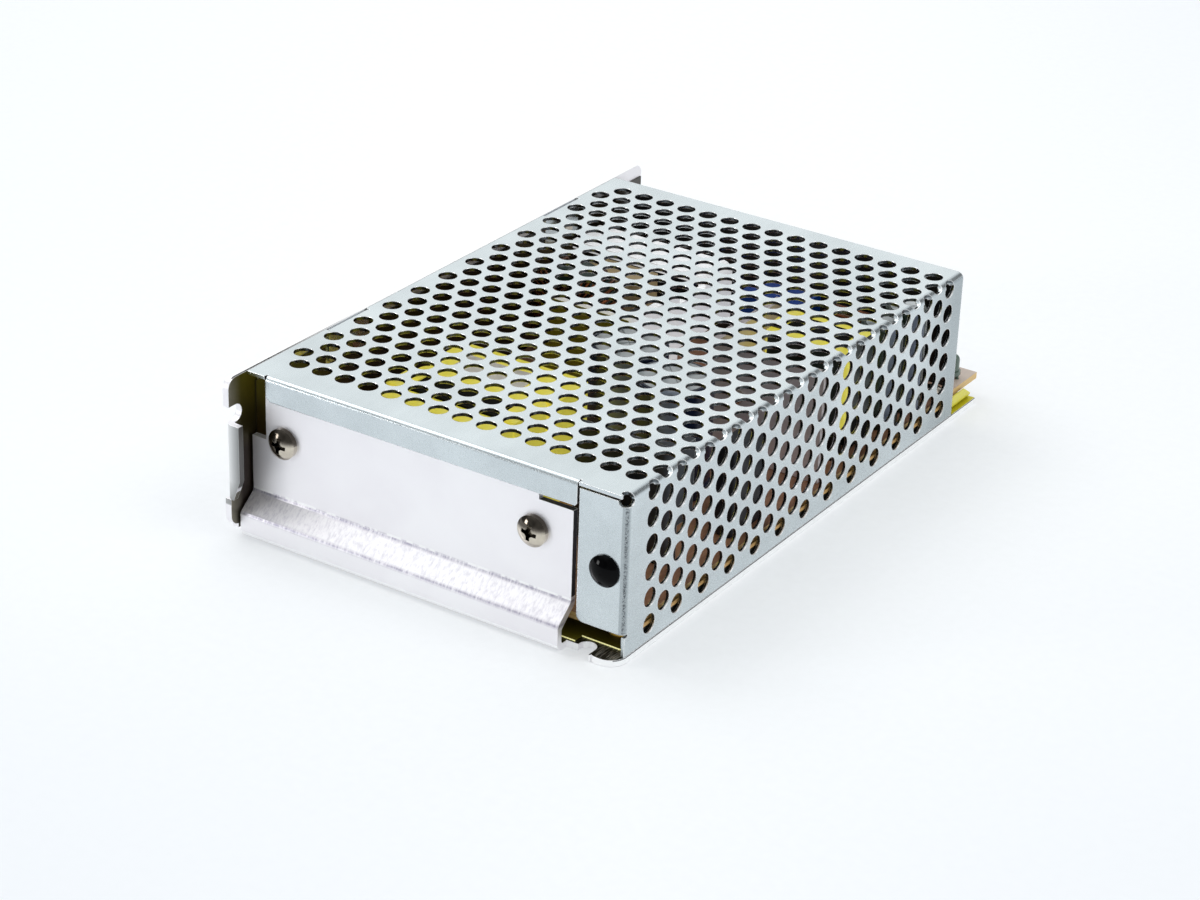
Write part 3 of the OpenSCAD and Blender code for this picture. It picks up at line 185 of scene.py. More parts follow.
class Surface(Nodes):
    """A material under construction, with its shader and its node tree."""

    def __init__(self, name: str) -> None:
        """Makes an empty material with one shader.

        Args:
            name: What the real material is.
        """
        self.material = bpy.data.materials.new(name)
        self.material.use_nodes = True
        super().__init__(self.material.node_tree)
        self.tree.nodes.clear()
        self.shader = self.add("ShaderNodeBsdfPrincipled")
        self.add("ShaderNodeOutputMaterial", {"Surface": self.shader.outputs["BSDF"]})
        self.where = self.add("ShaderNodeTexCoord").outputs["Object"]
        self.eased: Socket | None = None

    @cached_property
    def place(self):
        """X, Y and Z of the point on the surface, in the case's frame and in millimetres."""
        scaled = self.add("ShaderNodeVectorMath", {0: self.where}, {"Scale": 1 / MM}, operation="SCALE")
        return self.add("ShaderNodeSeparateXYZ", {"Vector": scaled.outputs[0]}).outputs

    @cached_property
    def way(self):
        """X, Y and Z of the true surface normal, in the case's frame."""
        flat = self.add("ShaderNodeNewGeometry").outputs["True Normal"]
        turned = self.add("ShaderNodeVectorTransform", {"Vector": flat}, vector_type="NORMAL",
                          convert_from="WORLD", convert_to="OBJECT")
        return self.add("ShaderNodeSeparateXYZ", {"Vector": turned.outputs[0]}).outputs

    def set(self, **values) -> None:
        """Sets constants on the shader's own sockets.

        Args:
            **values: Socket names, with underscores for spaces, and their values.
        """
        for key, value in values.items():
            self.shader.inputs[key.replace("_", " ")].default_value = value

    def feed(self, name: str, socket: Socket) -> None:
        """Links an output socket to one of the shader's inputs."""
        self.tree.links.new(socket, self.shader.inputs[name])

    def noise(self, scale: float | tuple[float, float, float], detail: float = 3.0,
              rough: float = 0.55) -> Socket:
        """A noise pattern.

        Args:
            scale: Cells in a metre, one number or one for each axis.
            detail: Octaves added to the first.
            rough: Share that each octave keeps of the one before.

        Returns:
            The pattern's grey output.
        """
        vector = self.where
        if isinstance(scale, tuple):
            vector = self.add("ShaderNodeMapping", {"Vector": vector}, {"Scale": scale}).outputs["Vector"]
            scale = 1.0
        return self.add("ShaderNodeTexNoise", {"Vector": vector},
                        {"Scale": scale, "Detail": detail, "Roughness": rough}).outputs["Fac"]

    def blend(self, factor: Socket, a: Socket | str, b: Socket | str) -> Socket:
        """Mixes two colours, each a hex code or a socket, by a factor."""
        node = self.add("ShaderNodeMix", {0: factor}, data_type="RGBA")
        for index, colour in ((6, a), (7, b)):
            if isinstance(colour, str):
                node.inputs[index].default_value = linear(colour)
            else:
                self.tree.links.new(colour, node.inputs[index])
        return node.outputs[2]

    def bump(self, height: Socket, distance: float, strength: float) -> None:
        """Raises the surface by a pattern, over edges that are eased where there is a rim.

        Args:
            height: The pattern.
            distance: Height in millimetres of a step from 0 to 1.
            strength: Share of it that shows.
        """
        node = self.add("ShaderNodeBump", {"Height": height},
                        {"Distance": distance * MM, "Strength": strength})
        if self.eased:
            self.tree.links.new(self.eased, node.inputs["Normal"])
        self.feed("Normal", node.outputs["Normal"])

    def rim(self, radius: float) -> Socket:
        """A mask of the sheared edges, which are eased; callers paint a white highlight along it.

        Args:
            radius: Radius in millimetres that the edges are eased by.

        Returns:
            The mask, one along the edges, where the eased normal leans off the true one.
        """
        self.eased = self.add("ShaderNodeBevel", inputs={"Radius": radius * MM},
                              samples=6).outputs["Normal"]
        flat = self.add("ShaderNodeNewGeometry").outputs["True Normal"]
        lean = self.add("ShaderNodeVectorMath", {0: self.eased, 1: flat}, operation="DOT_PRODUCT")
        return self.remap(lean.outputs["Value"], 0.995, 0.93)


@dataclass(frozen=True)
class SheetMetal:
    """Rolled sheet: faint streaks along the rolling direction, grit and clouds."""

    name: str
    light: str
    dark: str
    roughness: float
    grain: Axis = Axis.Y
    sparkle: float = 0.1
    streak: float = 0.3
    metal: float = 1.0
    # Share of white painted on the eased edges, as a highlight
    edge: float = 0.8
    ease: float = 0.28
    glow: float = 0.0

    def build(self) -> bpy.types.Material:
        """Returns the finished material."""
        s = Surface(self.name)
        self.tone(s)
        return s.material

    def grit(self, s: Surface) -> Socket:
        """Grit of about a third of a millimetre: it makes the metal glitter, not shine flat."""
        return s.noise(2600.0, 2.0, 0.7)

    def clouds(self, s: Surface) -> Socket:
        """Clouds a few centimetres wide, which handling leaves."""
        return s.noise(45.0)

    def dull(self, s: Surface, grit: Socket) -> Socket:
        """The roughness, which the grit moves up and down."""
        return s.remap(grit, 0.3, 0.7, self.roughness - self.sparkle / 2, self.roughness + self.sparkle / 2)

    def tone(self, s: Surface) -> None:
        """Gives the sheet its colour, dullness and grain.

        Args:
            s: The material under construction.
        """
        # Streaks about 1.5 mm apart are what the rolls leave; they are barely seen, but
        # they pull the highlight out across the grain.
        streaks = s.noise(tuple(60.0 if axis is self.grain else 700.0 for axis in Axis), 3.0, 0.6)
        grit = self.grit(s)
        mixed = s.total(s.both(streaks, self.streak), s.both(self.clouds(s), 1.0 - self.streak))
        sheet = s.blend(s.remap(mixed, 0.35, 0.65), self.dark, self.light)
        sheet, dull = self.add_marks_and_painted_light(s, sheet, self.dull(s, grit), grit)
        s.set(Metallic=self.metal, Emission_Color=linear(self.light), Emission_Strength=self.glow)
        # The eased edges are painted white, as a highlight.
        s.feed("Base Color", s.blend(s.both(s.rim(self.ease), self.edge), sheet, WHITE))
        s.feed("Roughness", dull)
        s.bump(s.total(s.both(streaks, 0.3), s.both(grit, 0.7)), 0.012, 0.3)

    def add_marks_and_painted_light(self, s: Surface, sheet: Socket, dull: Socket, grit: Socket) -> tuple[Socket, Socket]:
        """Adds marks and painted light and shade to the sheet, which are nothing on a plain one.

        Args:
            s: The material under construction.
            sheet: The colour so far.
            dull: The roughness so far.
            grit: The pattern of fine grit.

        Returns:
            The new colour and roughness.
        """
        return sheet, dull


@dataclass(frozen=True)
class PunchedSheet(SheetMetal):
    """The cover's zinc plated sheet, with painted shade and highlights in its hole walls and painted shade on
    its corner bend and rear margin.
    """

    painted_wall_shade: str = "#141518"

    def add_marks_and_painted_light(self, s: Surface, sheet: Socket, dull: Socket, grit: Socket) -> tuple[Socket, Socket]:
        """Paints shade and highlights on the walls of the holes, and shade on the corner bend and the rear
        margin.
        """
        x, y, z = s.place
        # A wall of a hole stands square to its sheet. It is painted near black, as shade;
        # the tab and the flange at the front have no holes.
        square = 0.05
        side = s.both(s.under(z, TOP - 1.2), s.over(x, RIGHT - 4.0), s.under(s.size(s.way["X"]), square))
        top = s.both(s.over(z, TOP - 0.9), s.under(s.size(s.way["Z"]), square))
        walls = s.both(s.either(side, top), s.over(y, FRONT + 7.35))
        sheet = s.blend(s.both(walls, 0.94), sheet, self.painted_wall_shade)
        # Low in the side's holes the outer third of the wall is torn, faces up and is rougher; it is painted
        # white, as a highlight.
        torn_with_painted_highlight = s.both(side, walls, s.remap(s.way["Z"], 0.1, 0.5), s.over(x, RIGHT - 0.32))
        sheet = s.blend(torn_with_painted_highlight, sheet, WHITE)
        dull = s.either(dull, s.both(torn_with_painted_highlight, 0.5))
        # The tab's inner edge stands in a gap and is painted dark too, as shade.
        outward = s.over(s.way["X"], 0.9)
        gap = s.both(outward, s.under(y, FRONT + 8.05), s.under(x, RIGHT - 9.0))
        sheet = s.blend(gap, sheet, self.painted_wall_shade)
        # The corner bend beside the tab is painted grey, as shade on the bend, and crazed with darker specks
        # in its middle.
        shaded_bend = s.both(s.between(s.way["X"], 0.12, 0.97, 0.06), s.under(s.way["Y"], -0.2))
        crazed = s.both(s.between(s.way["X"], 0.55, 0.85, 0.1), shaded_bend, s.remap(grit, 0.42, 0.56, 0.9, 0.2))
        sheet = s.blend(s.both(shaded_bend, 0.5), sheet, "#7f878b")
        sheet = s.blend(crazed, sheet, "#3f4447")
        # The side is painted darker towards its rear margin, as shade.
        painted_rear_shade = s.both(s.remap(y, REAR - 32.45, REAR - 15.45, 0.0, 0.55), outward)
        return s.blend(painted_rear_shade, sheet, "#7d888c"), dull


@dataclass(frozen=True)
class BentAluminium(SheetMetal):
    """The chassis sheet: white and even, with the skin drawn out and cracked in the bends.

    The step is the slanting strip below the end plate, and a bend lies at each of its edges.
    """

    bends: tuple[float, float] = (5.9, 9.9)
    step_z: tuple[float, float] = (4.5, 11.2)
    step_y: tuple[float, float] = (FRONT + 2.05, FRONT + 9.05)
    flange_z: tuple[float, float] = (8.5, 27.7)

    def tone(self, s: Surface) -> None:
        """Colours the sheet from its plain skin to its cut edges, and gives it its grain.

        Args:
            s: The material under construction.
        """
        # Short upright fibres, half a millimetre wide, are what drawing makes of the skin.
        fibres = s.noise((1500.0, 700.0, 260.0), 4.0, 0.7)
        grit = self.grit(s)
        sheet = s.blend(s.remap(self.clouds(s), 0.35, 0.65), self.dark, self.light)
        sheet, drawn = self.draw(s, sheet, fibres)
        sheet = self.paint_shade_and_reflections(s, sheet)
        sheet, shaded = self.shade(s, sheet)
        sheet = self.cut(s, sheet)
        # The eased edges are painted white as a highlight, less on the shaded flange.
        bright = s.both(s.rim(self.ease), s.maths("SUBTRACT", self.edge, s.both(shaded, 0.6)))
        s.feed("Base Color", s.blend(bright, sheet, WHITE))
        s.feed("Roughness", self.dull(s, grit))
        s.set(Metallic=self.metal)
        s.bump(s.total(grit, s.both(fibres, drawn, 4.0)), 0.01, 0.35)

    def draw(self, s: Surface, sheet: Socket, fibres: Socket) -> tuple[Socket, Socket]:
        """Draws the skin out on the step, and cracks it in the step's two bends.

        Args:
            s: The material under construction.
            sheet: The colour so far.
            fibres: The pattern of upright fibres.

        Returns:
            The new colour, and a mask of the drawn skin.
        """
        height = s.place["Z"]
        front = s.between(s.place["Y"], *self.step_y, 0.4)
        slope = s.both(s.between(s.way["Z"], 0.2, 0.9, 0.05), s.between(height, *self.step_z, 0.3))
        cracked = s.either(*(s.between(height, z - 0.35, z + 0.35, 0.3) for z in self.bends))
        cracked = s.both(cracked, front)
        drawn = s.either(s.both(slope, 0.45), cracked)
        # The shade between the fibres has a violet cast.
        specks = s.either(s.both(s.remap(fibres, 0.45, 0.65, 0.0, 0.6), drawn),
                          s.both(s.remap(fibres, 0.35, 0.6, 0.2, 0.75), cracked))
        sheet = s.blend(specks, sheet, "#77708f")
        # Just over the upper bend a row of bright dashes is painted.
        low = self.bends[1] + 0.2
        broken = s.remap(s.noise((420.0, 60.0, 60.0), 2.0), 0.46, 0.52)
        dashes = s.both(s.between(height, low, low + 0.5, 0.1), front, broken)
        return s.blend(dashes, sheet, WHITE), drawn

    def paint_shade_and_reflections(self, s: Surface, sheet: Socket) -> Socket:
        """Paints shade on the inner side, and the insulating film's reflection on the base."""
        x, y, z = s.place
        # The left wall is painted dark beside the end plate, as shade, with a painted reflection of the
        # insulating film's yellow higher up and paler paint, as light, towards its front edge.
        inner = s.both(s.over(s.way["X"], 0.7), s.under(x, LEFT + 3.0), s.under(y, FRONT + 9.55))
        painted_wall_shade = s.blend(s.remap(z, 20.0, 37.0), "#2a211b", "#57521c")
        painted_wall_shade = s.blend(s.remap(y, FRONT + 0.35, FRONT + 4.05, 1.0, 0.0), painted_wall_shade, "#7c786a")
        sheet = s.blend(inner, sheet, painted_wall_shade)
        # The base is painted dark olive, as shade and the film's reflection, and scratched at the right,
        # where it is bare; at the rear it is painted the film's yellow, as its reflection.
        base = s.both(s.over(s.way["Z"], 0.9), s.under(z, 1.8))
        scratches = s.remap(s.noise((3200.0, 400.0, 400.0)), 0.45, 0.65)
        floor = s.blend(s.remap(x, RIGHT - 13.0, RIGHT - 5.0), "#2f2d0d",
                        s.blend(scratches, "#262622", "#a3a39c"))
        floor = s.blend(s.over(y, REAR - 11.45), floor, "#cfc832")
        return s.blend(base, sheet, floor)

    def shade(self, s: Surface, sheet: Socket) -> tuple[Socket, Socket]:
        """Shades the stiffening flange, which turns from the light.

        Args:
            s: The material under construction.
            sheet: The colour so far.

        Returns:
            The new colour, and a mask of the flange.
        """
        x, y, z = s.place
        face = s.both(s.under(s.way["Y"], -0.6), s.under(y, FRONT + 2.05),
                      s.between(z, *self.flange_z, 0.2), s.under(x, LEFT + 4.1))
        turned = s.both(s.over(s.way["X"], 0.5), s.between(x, LEFT + 3.4, LEFT + 4.6, 0.1),
                        s.under(y, FRONT + 2.55))
        tone = s.blend(s.remap(x, LEFT + 0.5, LEFT + 3.7), "#eceded", "#969797")
        # Its foot stands in the shade of the lip.
        tone = s.blend(s.remap(z, 9.8, 14.5, 0.6, 0.0), tone, "#5c5b59")
        sheet = s.blend(face, sheet, tone)
        return s.blend(turned, sheet, "#6a6967"), s.either(face, turned)

    def cut(self, s: Surface, sheet: Socket) -> Socket:
        """Paints the sheared edges white, as a highlight, and shade on some of them."""
        x, y, z = s.place
        up, right = s.over(s.way["Z"], 0.9), s.over(s.way["X"], 0.7)
        brim = s.both(up, s.over(z, TOP - 2.0))
        lip = s.both(s.under(s.way["Y"], -0.6), s.under(z, 1.6))
        # The top brim and the front of the lip are painted white, as a highlight.
        sheet = s.blend(s.either(brim, lip), sheet, WHITE)
        # The end plate's own cut edges lie in its shade.
        notch = s.either(s.both(up, s.between(z, 30.0, 37.0, 0.1)),
                         s.both(right, s.between(x, 34.0, 37.2, 0.1), s.over(z, 10.8)))
        sheet = s.blend(s.both(notch, s.under(y, FRONT + 9.05)), sheet, "#393a40")
        # A dark line is painted along the brim's joint with the cover, and fades out from the front.
        joint_line = s.both(brim, s.over(x, LEFT + 1.05), s.remap(y, FRONT + 15.55, FRONT + 46.55, 1.0, 0.0))
        sheet = s.blend(joint_line, sheet, "#1c1714")
        # The base's right edge is painted white as a highlight, and darker below, under the film.
        right_edge_tone = s.both(right, s.over(x, RIGHT - 3.0))
        return s.blend(right_edge_tone, sheet, s.blend(s.over(z, 1.2), WHITE, "#5b5d5e"))


@dataclass(frozen=True)
class PlatedMetal:
    """Smooth small metalwork, with brown painted shade in its recesses and, where it is set, a painted dark
    reflection on top.
    """

    name: str
    colour: str
    roughness: float
    painted_dark_top: float = 0.0

    def build(self) -> bpy.types.Material:
        """Returns the finished material."""
        s = Surface(self.name)
        # Plating is even; only handling marks a few millimetres wide dull it.
        marks = s.noise(420.0, 4.0, 0.6)
        skin = s.blend(s.remap(marks, 0.35, 0.7, 0.0, 0.25), self.colour, "#6d665c")
        # The upper half of a head is painted dark brown, as a reflection of the dark room.
        skin = s.blend(s.remap(s.way["Z"], 0.04, 0.2, 0.0, self.painted_dark_top), skin, "#2a211b")
        # The recesses, about a millimetre deep, are painted dark brown, as shade.
        open_air = s.add("ShaderNodeAmbientOcclusion", inputs={"Distance": 1.2 * MM},
                         samples=6, only_local=True).outputs["AO"]
        s.feed("Base Color", s.blend(s.remap(open_air, 0.35, 0.8, 1.0, 0.0), skin, "#1f1712"))
        s.feed("Roughness", s.remap(marks, 0.3, 0.7, self.roughness - 0.05, self.roughness + 0.1))
        s.set(Metallic=1.0)
        return s.material


@dataclass(frozen=True)
class MouldedPlastic:
    """Moulded or dipped plastic with a fine skin, whose relief is in millimetres."""

    name: str
    colour: str
    roughness: float
    skin: float = 0.01
    coat: float = 0.0
    gloss: float = 0.5

    def build(self) -> bpy.types.Material:
        """Returns the finished material."""
        s = Surface(self.name)
        # A skin of half-millimetre dimples spreads the highlight as real mouldings do.
        skin = s.noise(1800.0, 3.0, 0.5)
        cloud = s.noise(90.0, 3.0, 0.5)
        tint = s.add("ShaderNodeHueSaturation", {"Value": s.remap(cloud, 0.3, 0.7, 0.88, 1.1)},
                     {"Color": linear(self.colour)})
        s.feed("Base Color", tint.outputs["Color"])
        s.feed("Roughness", s.remap(skin, 0.3, 0.7, self.roughness - 0.06, self.roughness + 0.06))
        s.set(IOR=1.5, Specular_IOR_Level=self.gloss, Coat_Weight=self.coat, Coat_Roughness=0.06)
        s.bump(skin, self.skin, 0.5)
        return s.material


@dataclass(frozen=True)
class InsulatingFilm:
    """Clear yellow film: deep where it lies on metal, and bright where light leaves its edges."""

    name: str
    face: str = "#625c14"
    painted_wall_shade: str = "#221b0b"
    edge: str = "#f8f3ae"
    glow: float = 0.6

    def build(self) -> bpy.types.Material:
        """Returns the finished material."""
        s = Surface(self.name)
        x, y, z = s.place
        face = s.blend(s.remap(s.noise(60.0, 2.0), 0.35, 0.65, 0.0, 0.4), self.face, "#454010")
        # On the left wall the film is painted dark, as the shade of the closed side.
        left = s.remap(x, LEFT + 2.8, LEFT + 3.5, 1.0, 0.0)
        face = s.blend(left, face, self.painted_wall_shade)
        # The fold at the right is clear: the board's sawn edge is painted on its upper part, and painted
        # shade under the board on its lower part, as seen through it. Past the cover it is painted bright, as
        # light.
        fold = s.blend(s.over(z, 4.3), "#100e07", "#cda66b")
        fold = s.blend(s.remap(y, REAR - 11.95, REAR - 9.45), fold, "#dad23f")
        face = s.blend(s.over(x, RIGHT - 1.8), face, fold)
        # Light gathers in the sheet and comes out at the cut, so the edge glows a little.
        cut = s.both(s.over(s.size(s.way["Y"]), 0.6), s.maths("SUBTRACT", 1.0, left))
        s.feed("Base Color", s.blend(cut, face, self.edge))
        s.feed("Emission Strength", s.both(cut, self.glow))
        s.set(Emission_Color=linear(self.edge), Roughness=0.28, IOR=1.57)
        return s.material


@dataclass(frozen=True)
class Laminate:
    """Phenolic board: brown faces, and pale tan sawn edges with a line of plies."""

    name: str
    edge: str = "#dcbd80"

    def build(self) -> bpy.types.Material:
        """Returns the finished material."""
        s = Surface(self.name)
        # The paper's fibres run along the board and make it faintly streaky.
        fibres = s.noise((500.0, 90.0, 500.0), 4.0, 0.6)
        face = s.blend(s.remap(fibres, 0.35, 0.65), "#96694f", "#bb8a6c")
        # Paper plies about a fifth of a millimetre thick line the sawn edge.
        plies = s.noise((60.0, 60.0, 5000.0), 2.0)
        edge = s.blend(s.remap(plies, 0.35, 0.65), "#c9a468", self.edge)
        # Past the cover the board's face is painted pale grey, as a reflection.
        face = s.blend(s.remap(s.place["Y"], REAR - 9.45, REAR - 5.95, 0.0, 0.7), face, "#d0c8bd")
        s.feed("Base Color", s.blend(s.over(s.size(s.way["Z"]), 0.5), edge, face))
        s.set(Roughness=0.5, IOR=1.55)
        s.bump(fibres, 0.03, 0.4)
        return s.material


@dataclass(frozen=True)
class TapeWrap:
    """Layers of thin polyester tape, with the lap lines between turns."""

    name: str
    colour: str = "#ebe04a"
    glow: float = 0.36
    dark_from: float | None = None

    def build(self) -> bpy.types.Material:
        """Returns the finished material."""
        s = Surface(self.name)
        # Laps about 4 mm apart up the coil, each a faint step in height and tone.
        lap = s.add("ShaderNodeTexWave", {"Vector": s.where},
                    {"Scale": 75.0, "Distortion": 1.2, "Detail": 1.0},
                    wave_type="BANDS", bands_direction="Z", wave_profile="SAW").outputs["Fac"]
        tape = s.blend(s.remap(lap, 0.0, 1.0, 0.0, 0.35), self.colour, "#b89a12")
        # The tape is given a little painted glow of its own, so it looks lit in the dark.
        s.set(Roughness=0.3, IOR=1.6, Emission_Color=linear("#ece25c"), Emission_Strength=self.glow)
        if self.dark_from is not None:
            # The coil's front is painted dark green, as the core's shade, and the rear part of the end
            # that faces the cover's side is painted the same.
            end = s.both(s.over(s.place["X"], RIGHT - 5.0), s.over(s.place["Y"], self.dark_from))
            dark = s.either(end, s.under(s.way["Y"], -0.9))
            tape = s.blend(dark, tape, "#15251c")
            s.feed("Emission Strength", s.remap(dark, 0.0, 1.0, self.glow, 0.0))
        s.feed("Base Color", tape)
        s.bump(s.total(lap, s.noise((300.0, 300.0, 900.0))), 0.06, 0.5)
        return s.material


@dataclass(frozen=True)
class Sleeved:
    """Capacitor cans in shrunk sleeves, with bare tops and a pale stripe down one side.

    The stripe is in the direction of an angle in radians, and the rest is in millimetres.
    """

    name: str
    sleeve: str
    stripe: str
    centres: tuple[tuple[float, float], ...]
    radius: float
    top: float
    stripe_at: float

    def build(self) -> bpy.types.Material:
        """Returns the finished material."""
        s = Surface(self.name)
        reaches, turns = [], []
        for centre in self.centres:
            dx, dy = (s.maths("SUBTRACT", part, at) for part, at in zip(s.place, centre))
            reach = s.maths("SQRT", s.total(s.both(dx, dx), s.both(dy, dy)))
            turn = s.maths("COSINE", s.maths("SUBTRACT", s.maths("ARCTAN2", dy, dx), self.stripe_at))
            reaches.append(reach)
            turns.append(s.both(turn, s.under(reach, self.radius * 1.3)))
        nearest = reduce(lambda a, b: s.maths("MINIMUM", a, b), reaches)
        bare = s.both(s.over(s.place["Z"], self.top - 0.9), s.under(nearest, self.radius - 1.3))
        body = s.blend(s.over(s.either(*turns), 0.93), self.sleeve, self.stripe)
        s.feed("Base Color", s.blend(bare, body, "#d4d8da"))
        s.feed("Metallic", bare)
        # The sleeve is glossy film; the pressed top is satin metal.
        s.feed("Roughness", s.remap(bare, 0.0, 1.0, 0.25, 0.35))
        return s.material


@dataclass(frozen=True)
class Ferrite:
    """Ground ferrite: near black, dull, with pinholes."""

    name: str
    colour: str = "#040405"

    def build(self) -> bpy.types.Material:
        """Returns the finished material."""
        s = Surface(self.name)
        # Pinholes of about half a millimetre are left where grains break out in grinding.
        holes = s.noise(1500.0, 2.0, 0.7)
        s.feed("Base Color", s.blend(s.remap(holes, 0.55, 0.75), self.colour, "#050506"))
        s.set(Roughness=0.65, IOR=1.5, Specular_IOR_Level=0.12)
        s.bump(holes, 0.02, 0.4)
        return s.material


@dataclass(frozen=True)
class ClearGlass:
    """Thin clear glass tube."""

    name: str
    tint: str = "#f2f8f6"

    def build(self) -> bpy.types.Material:
        """Returns the finished material."""
        s = Surface(self.name)
        # Drawn tube has faint length-wise ripples that break up the highlight.
        ripple = s.noise((60.0, 900.0, 900.0), 2.0)
        s.set(Base_Color=linear(self.tint), Roughness=0.03, IOR=1.5, Transmission_Weight=0.95)
        s.bump(ripple, 0.01, 0.3)
        return s.material


FINISHES = {
    # Rolled sheet: pale and satin, with a highlight that is drawn out across the grain. The heat
    # sinks stand deep in the case, so a glow stands for the light that the cover lets in.
    "bent_aluminium": BentAluminium("bare aluminium sheet", "#f8f7f9", "#f3f1f4", 0.46, metal=0.85,
                                    ease=0.22),
    "zinc_sheet": PunchedSheet("zinc plated sheet", "#d4dcdf", "#c6ced1", 0.27, streak=0.2),
    "dark_aluminium": SheetMetal("dark dull aluminium", "#6a6d72", "#54575c", 0.5, Axis.X),
    "bright_aluminium": SheetMetal("bright aluminium", "#f6f7f8", "#e9eaec", 0.4, Axis.X,
                                   metal=0.35, glow=0.45),
    "warm_aluminium": SheetMetal("satin aluminium", "#dcd2d4", "#cabfc2", 0.4, Axis.X,
                                 metal=0.5, glow=0.06),
    # Cold-headed, turned or drawn metal: plating and enamel lie smooth, so it mirrors the room
    "nickel": PlatedMetal("nickel plated steel", "#c9c0b3", 0.1),
    "nickel_with_painted_dark_top": PlatedMetal("nickel plated steel with painted dark top", "#cfc7b8", 0.12, painted_dark_top=0.85),
    "nickel_flat": PlatedMetal("nickel plated washer", "#c4baa8", 0.3),
    "tin": PlatedMetal("tinned brass", "#cfccc4", 0.3),
    "brass": PlatedMetal("turned brass", "#c9ab68", 0.28),
    "copper_wire": PlatedMetal("enamelled copper wire", "#713f23", 0.25),
    "steel": PlatedMetal("zinc plated steel bar", "#b4b8bb", 0.32),
    # Moulded parts are satin from the mould's skin, and dipped or lacquered ones have a soft coat
    "black_gloss": MouldedPlastic("glossy black nylon", "#020203", 0.06, skin=0.001, gloss=0.08),
    "black_block": MouldedPlastic("black moulded terminal block", "#17181a", 0.42),
    "black_epoxy": MouldedPlastic("black moulded epoxy", "#1a1b1d", 0.5),
    "black_dip": MouldedPlastic("black dipped disc", "#191915", 0.35, skin=0.02),
    "phenolic": MouldedPlastic("black phenolic bobbin", "#0d0c0c", 0.5, gloss=0.3),
    "blue_dip": MouldedPlastic("blue dipped disc", "#2a5fa5", 0.3, skin=0.02, coat=0.2),
    "blue_box": MouldedPlastic("blue epoxy capacitor", "#063a8c", 0.45, gloss=0.1),
    "grey_box": MouldedPlastic("slate capacitor box", "#1b1f28", 0.4),
    "beige_box": MouldedPlastic("beige capacitor box", "#d8c294", 0.4),
    "trimmer_blue": MouldedPlastic("blue trimmer body", "#2358ad", 0.4),
    "trimmer_white": MouldedPlastic("white trimmer rotor", "#e6e6e0", 0.4),
    "lamp": MouldedPlastic("smoky green lamp resin", "#55675c", 0.12, skin=0.002, coat=0.3),
    "pad": MouldedPlastic("grey silicone pad", "#b0aea8", 0.7),
    "powder_core": MouldedPlastic("yellow coated powder core", "#c9a227", 0.35, coat=0.2),
    "green_core": MouldedPlastic("green coated ferrite ring", "#20352a", 0.35, coat=0.2),
    "resistor": MouldedPlastic("lacquered resistor", "#c7ab78", 0.35, coat=0.3),
    "label_paper": MouldedPlastic("bare white label", "#efe9ea", 0.5, skin=0.004),
    # The heat sink's sheet is yellow film; its olive colour is painted shade.
    "olive_film": MouldedPlastic("olive insulating sheet", "#8b8326", 0.3, skin=0.004),
    # Sheet, tape, ferrite, glass and sleeved cans have looks of their own, which their classes tell
    "film": InsulatingFilm("clear yellow film"),
    "board": Laminate("phenolic paper board"),
    "tape": TapeWrap("yellow polyester tape"),
    "tape_painted_dark_in_part": TapeWrap("yellow polyester tape painted dark green in part", dark_from=22.4),
    "ferrite": Ferrite("ground ferrite"),
    "glass": ClearGlass("fuse glass"),
    "bulk_cans": Sleeved("navy sleeved capacitor", "#1b2540", "#8d97a8",
                         ((20.2, MID_Y - 11.5), (3.0, MID_Y - 3.0)), 9.0, 33.0, -1.2),
    "output_cans": Sleeved("green sleeved capacitor", "#14291c", "#7f889b",
                           ((40.6, MID_Y + 45.0), (40.6, MID_Y + 56.4)), 5.0, BOARD_TOP + 25, -0.4),
}


# Pieces


@dataclass(frozen=True)
class Assembly:
    """Nodes of the frame that belong together, listed by the finish that they wear."""

    name: str
    wears: dict[str, tuple[str, ...]]

    def dress(self, finishes: dict[str, bpy.types.Material]) -> None:
        """Gives each node its finish.

        Args:
            finishes: The finished materials by their keys.
        """
        for finish, nodes in self.wears.items():
            for node in nodes:
                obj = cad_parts[node]
                if not obj.material_slots:
                    obj.data.materials.append(finishes[finish])
                for slot in obj.material_slots:
                    slot.material = finishes[finish]
        LOG.info("dressed the %s", self.name)


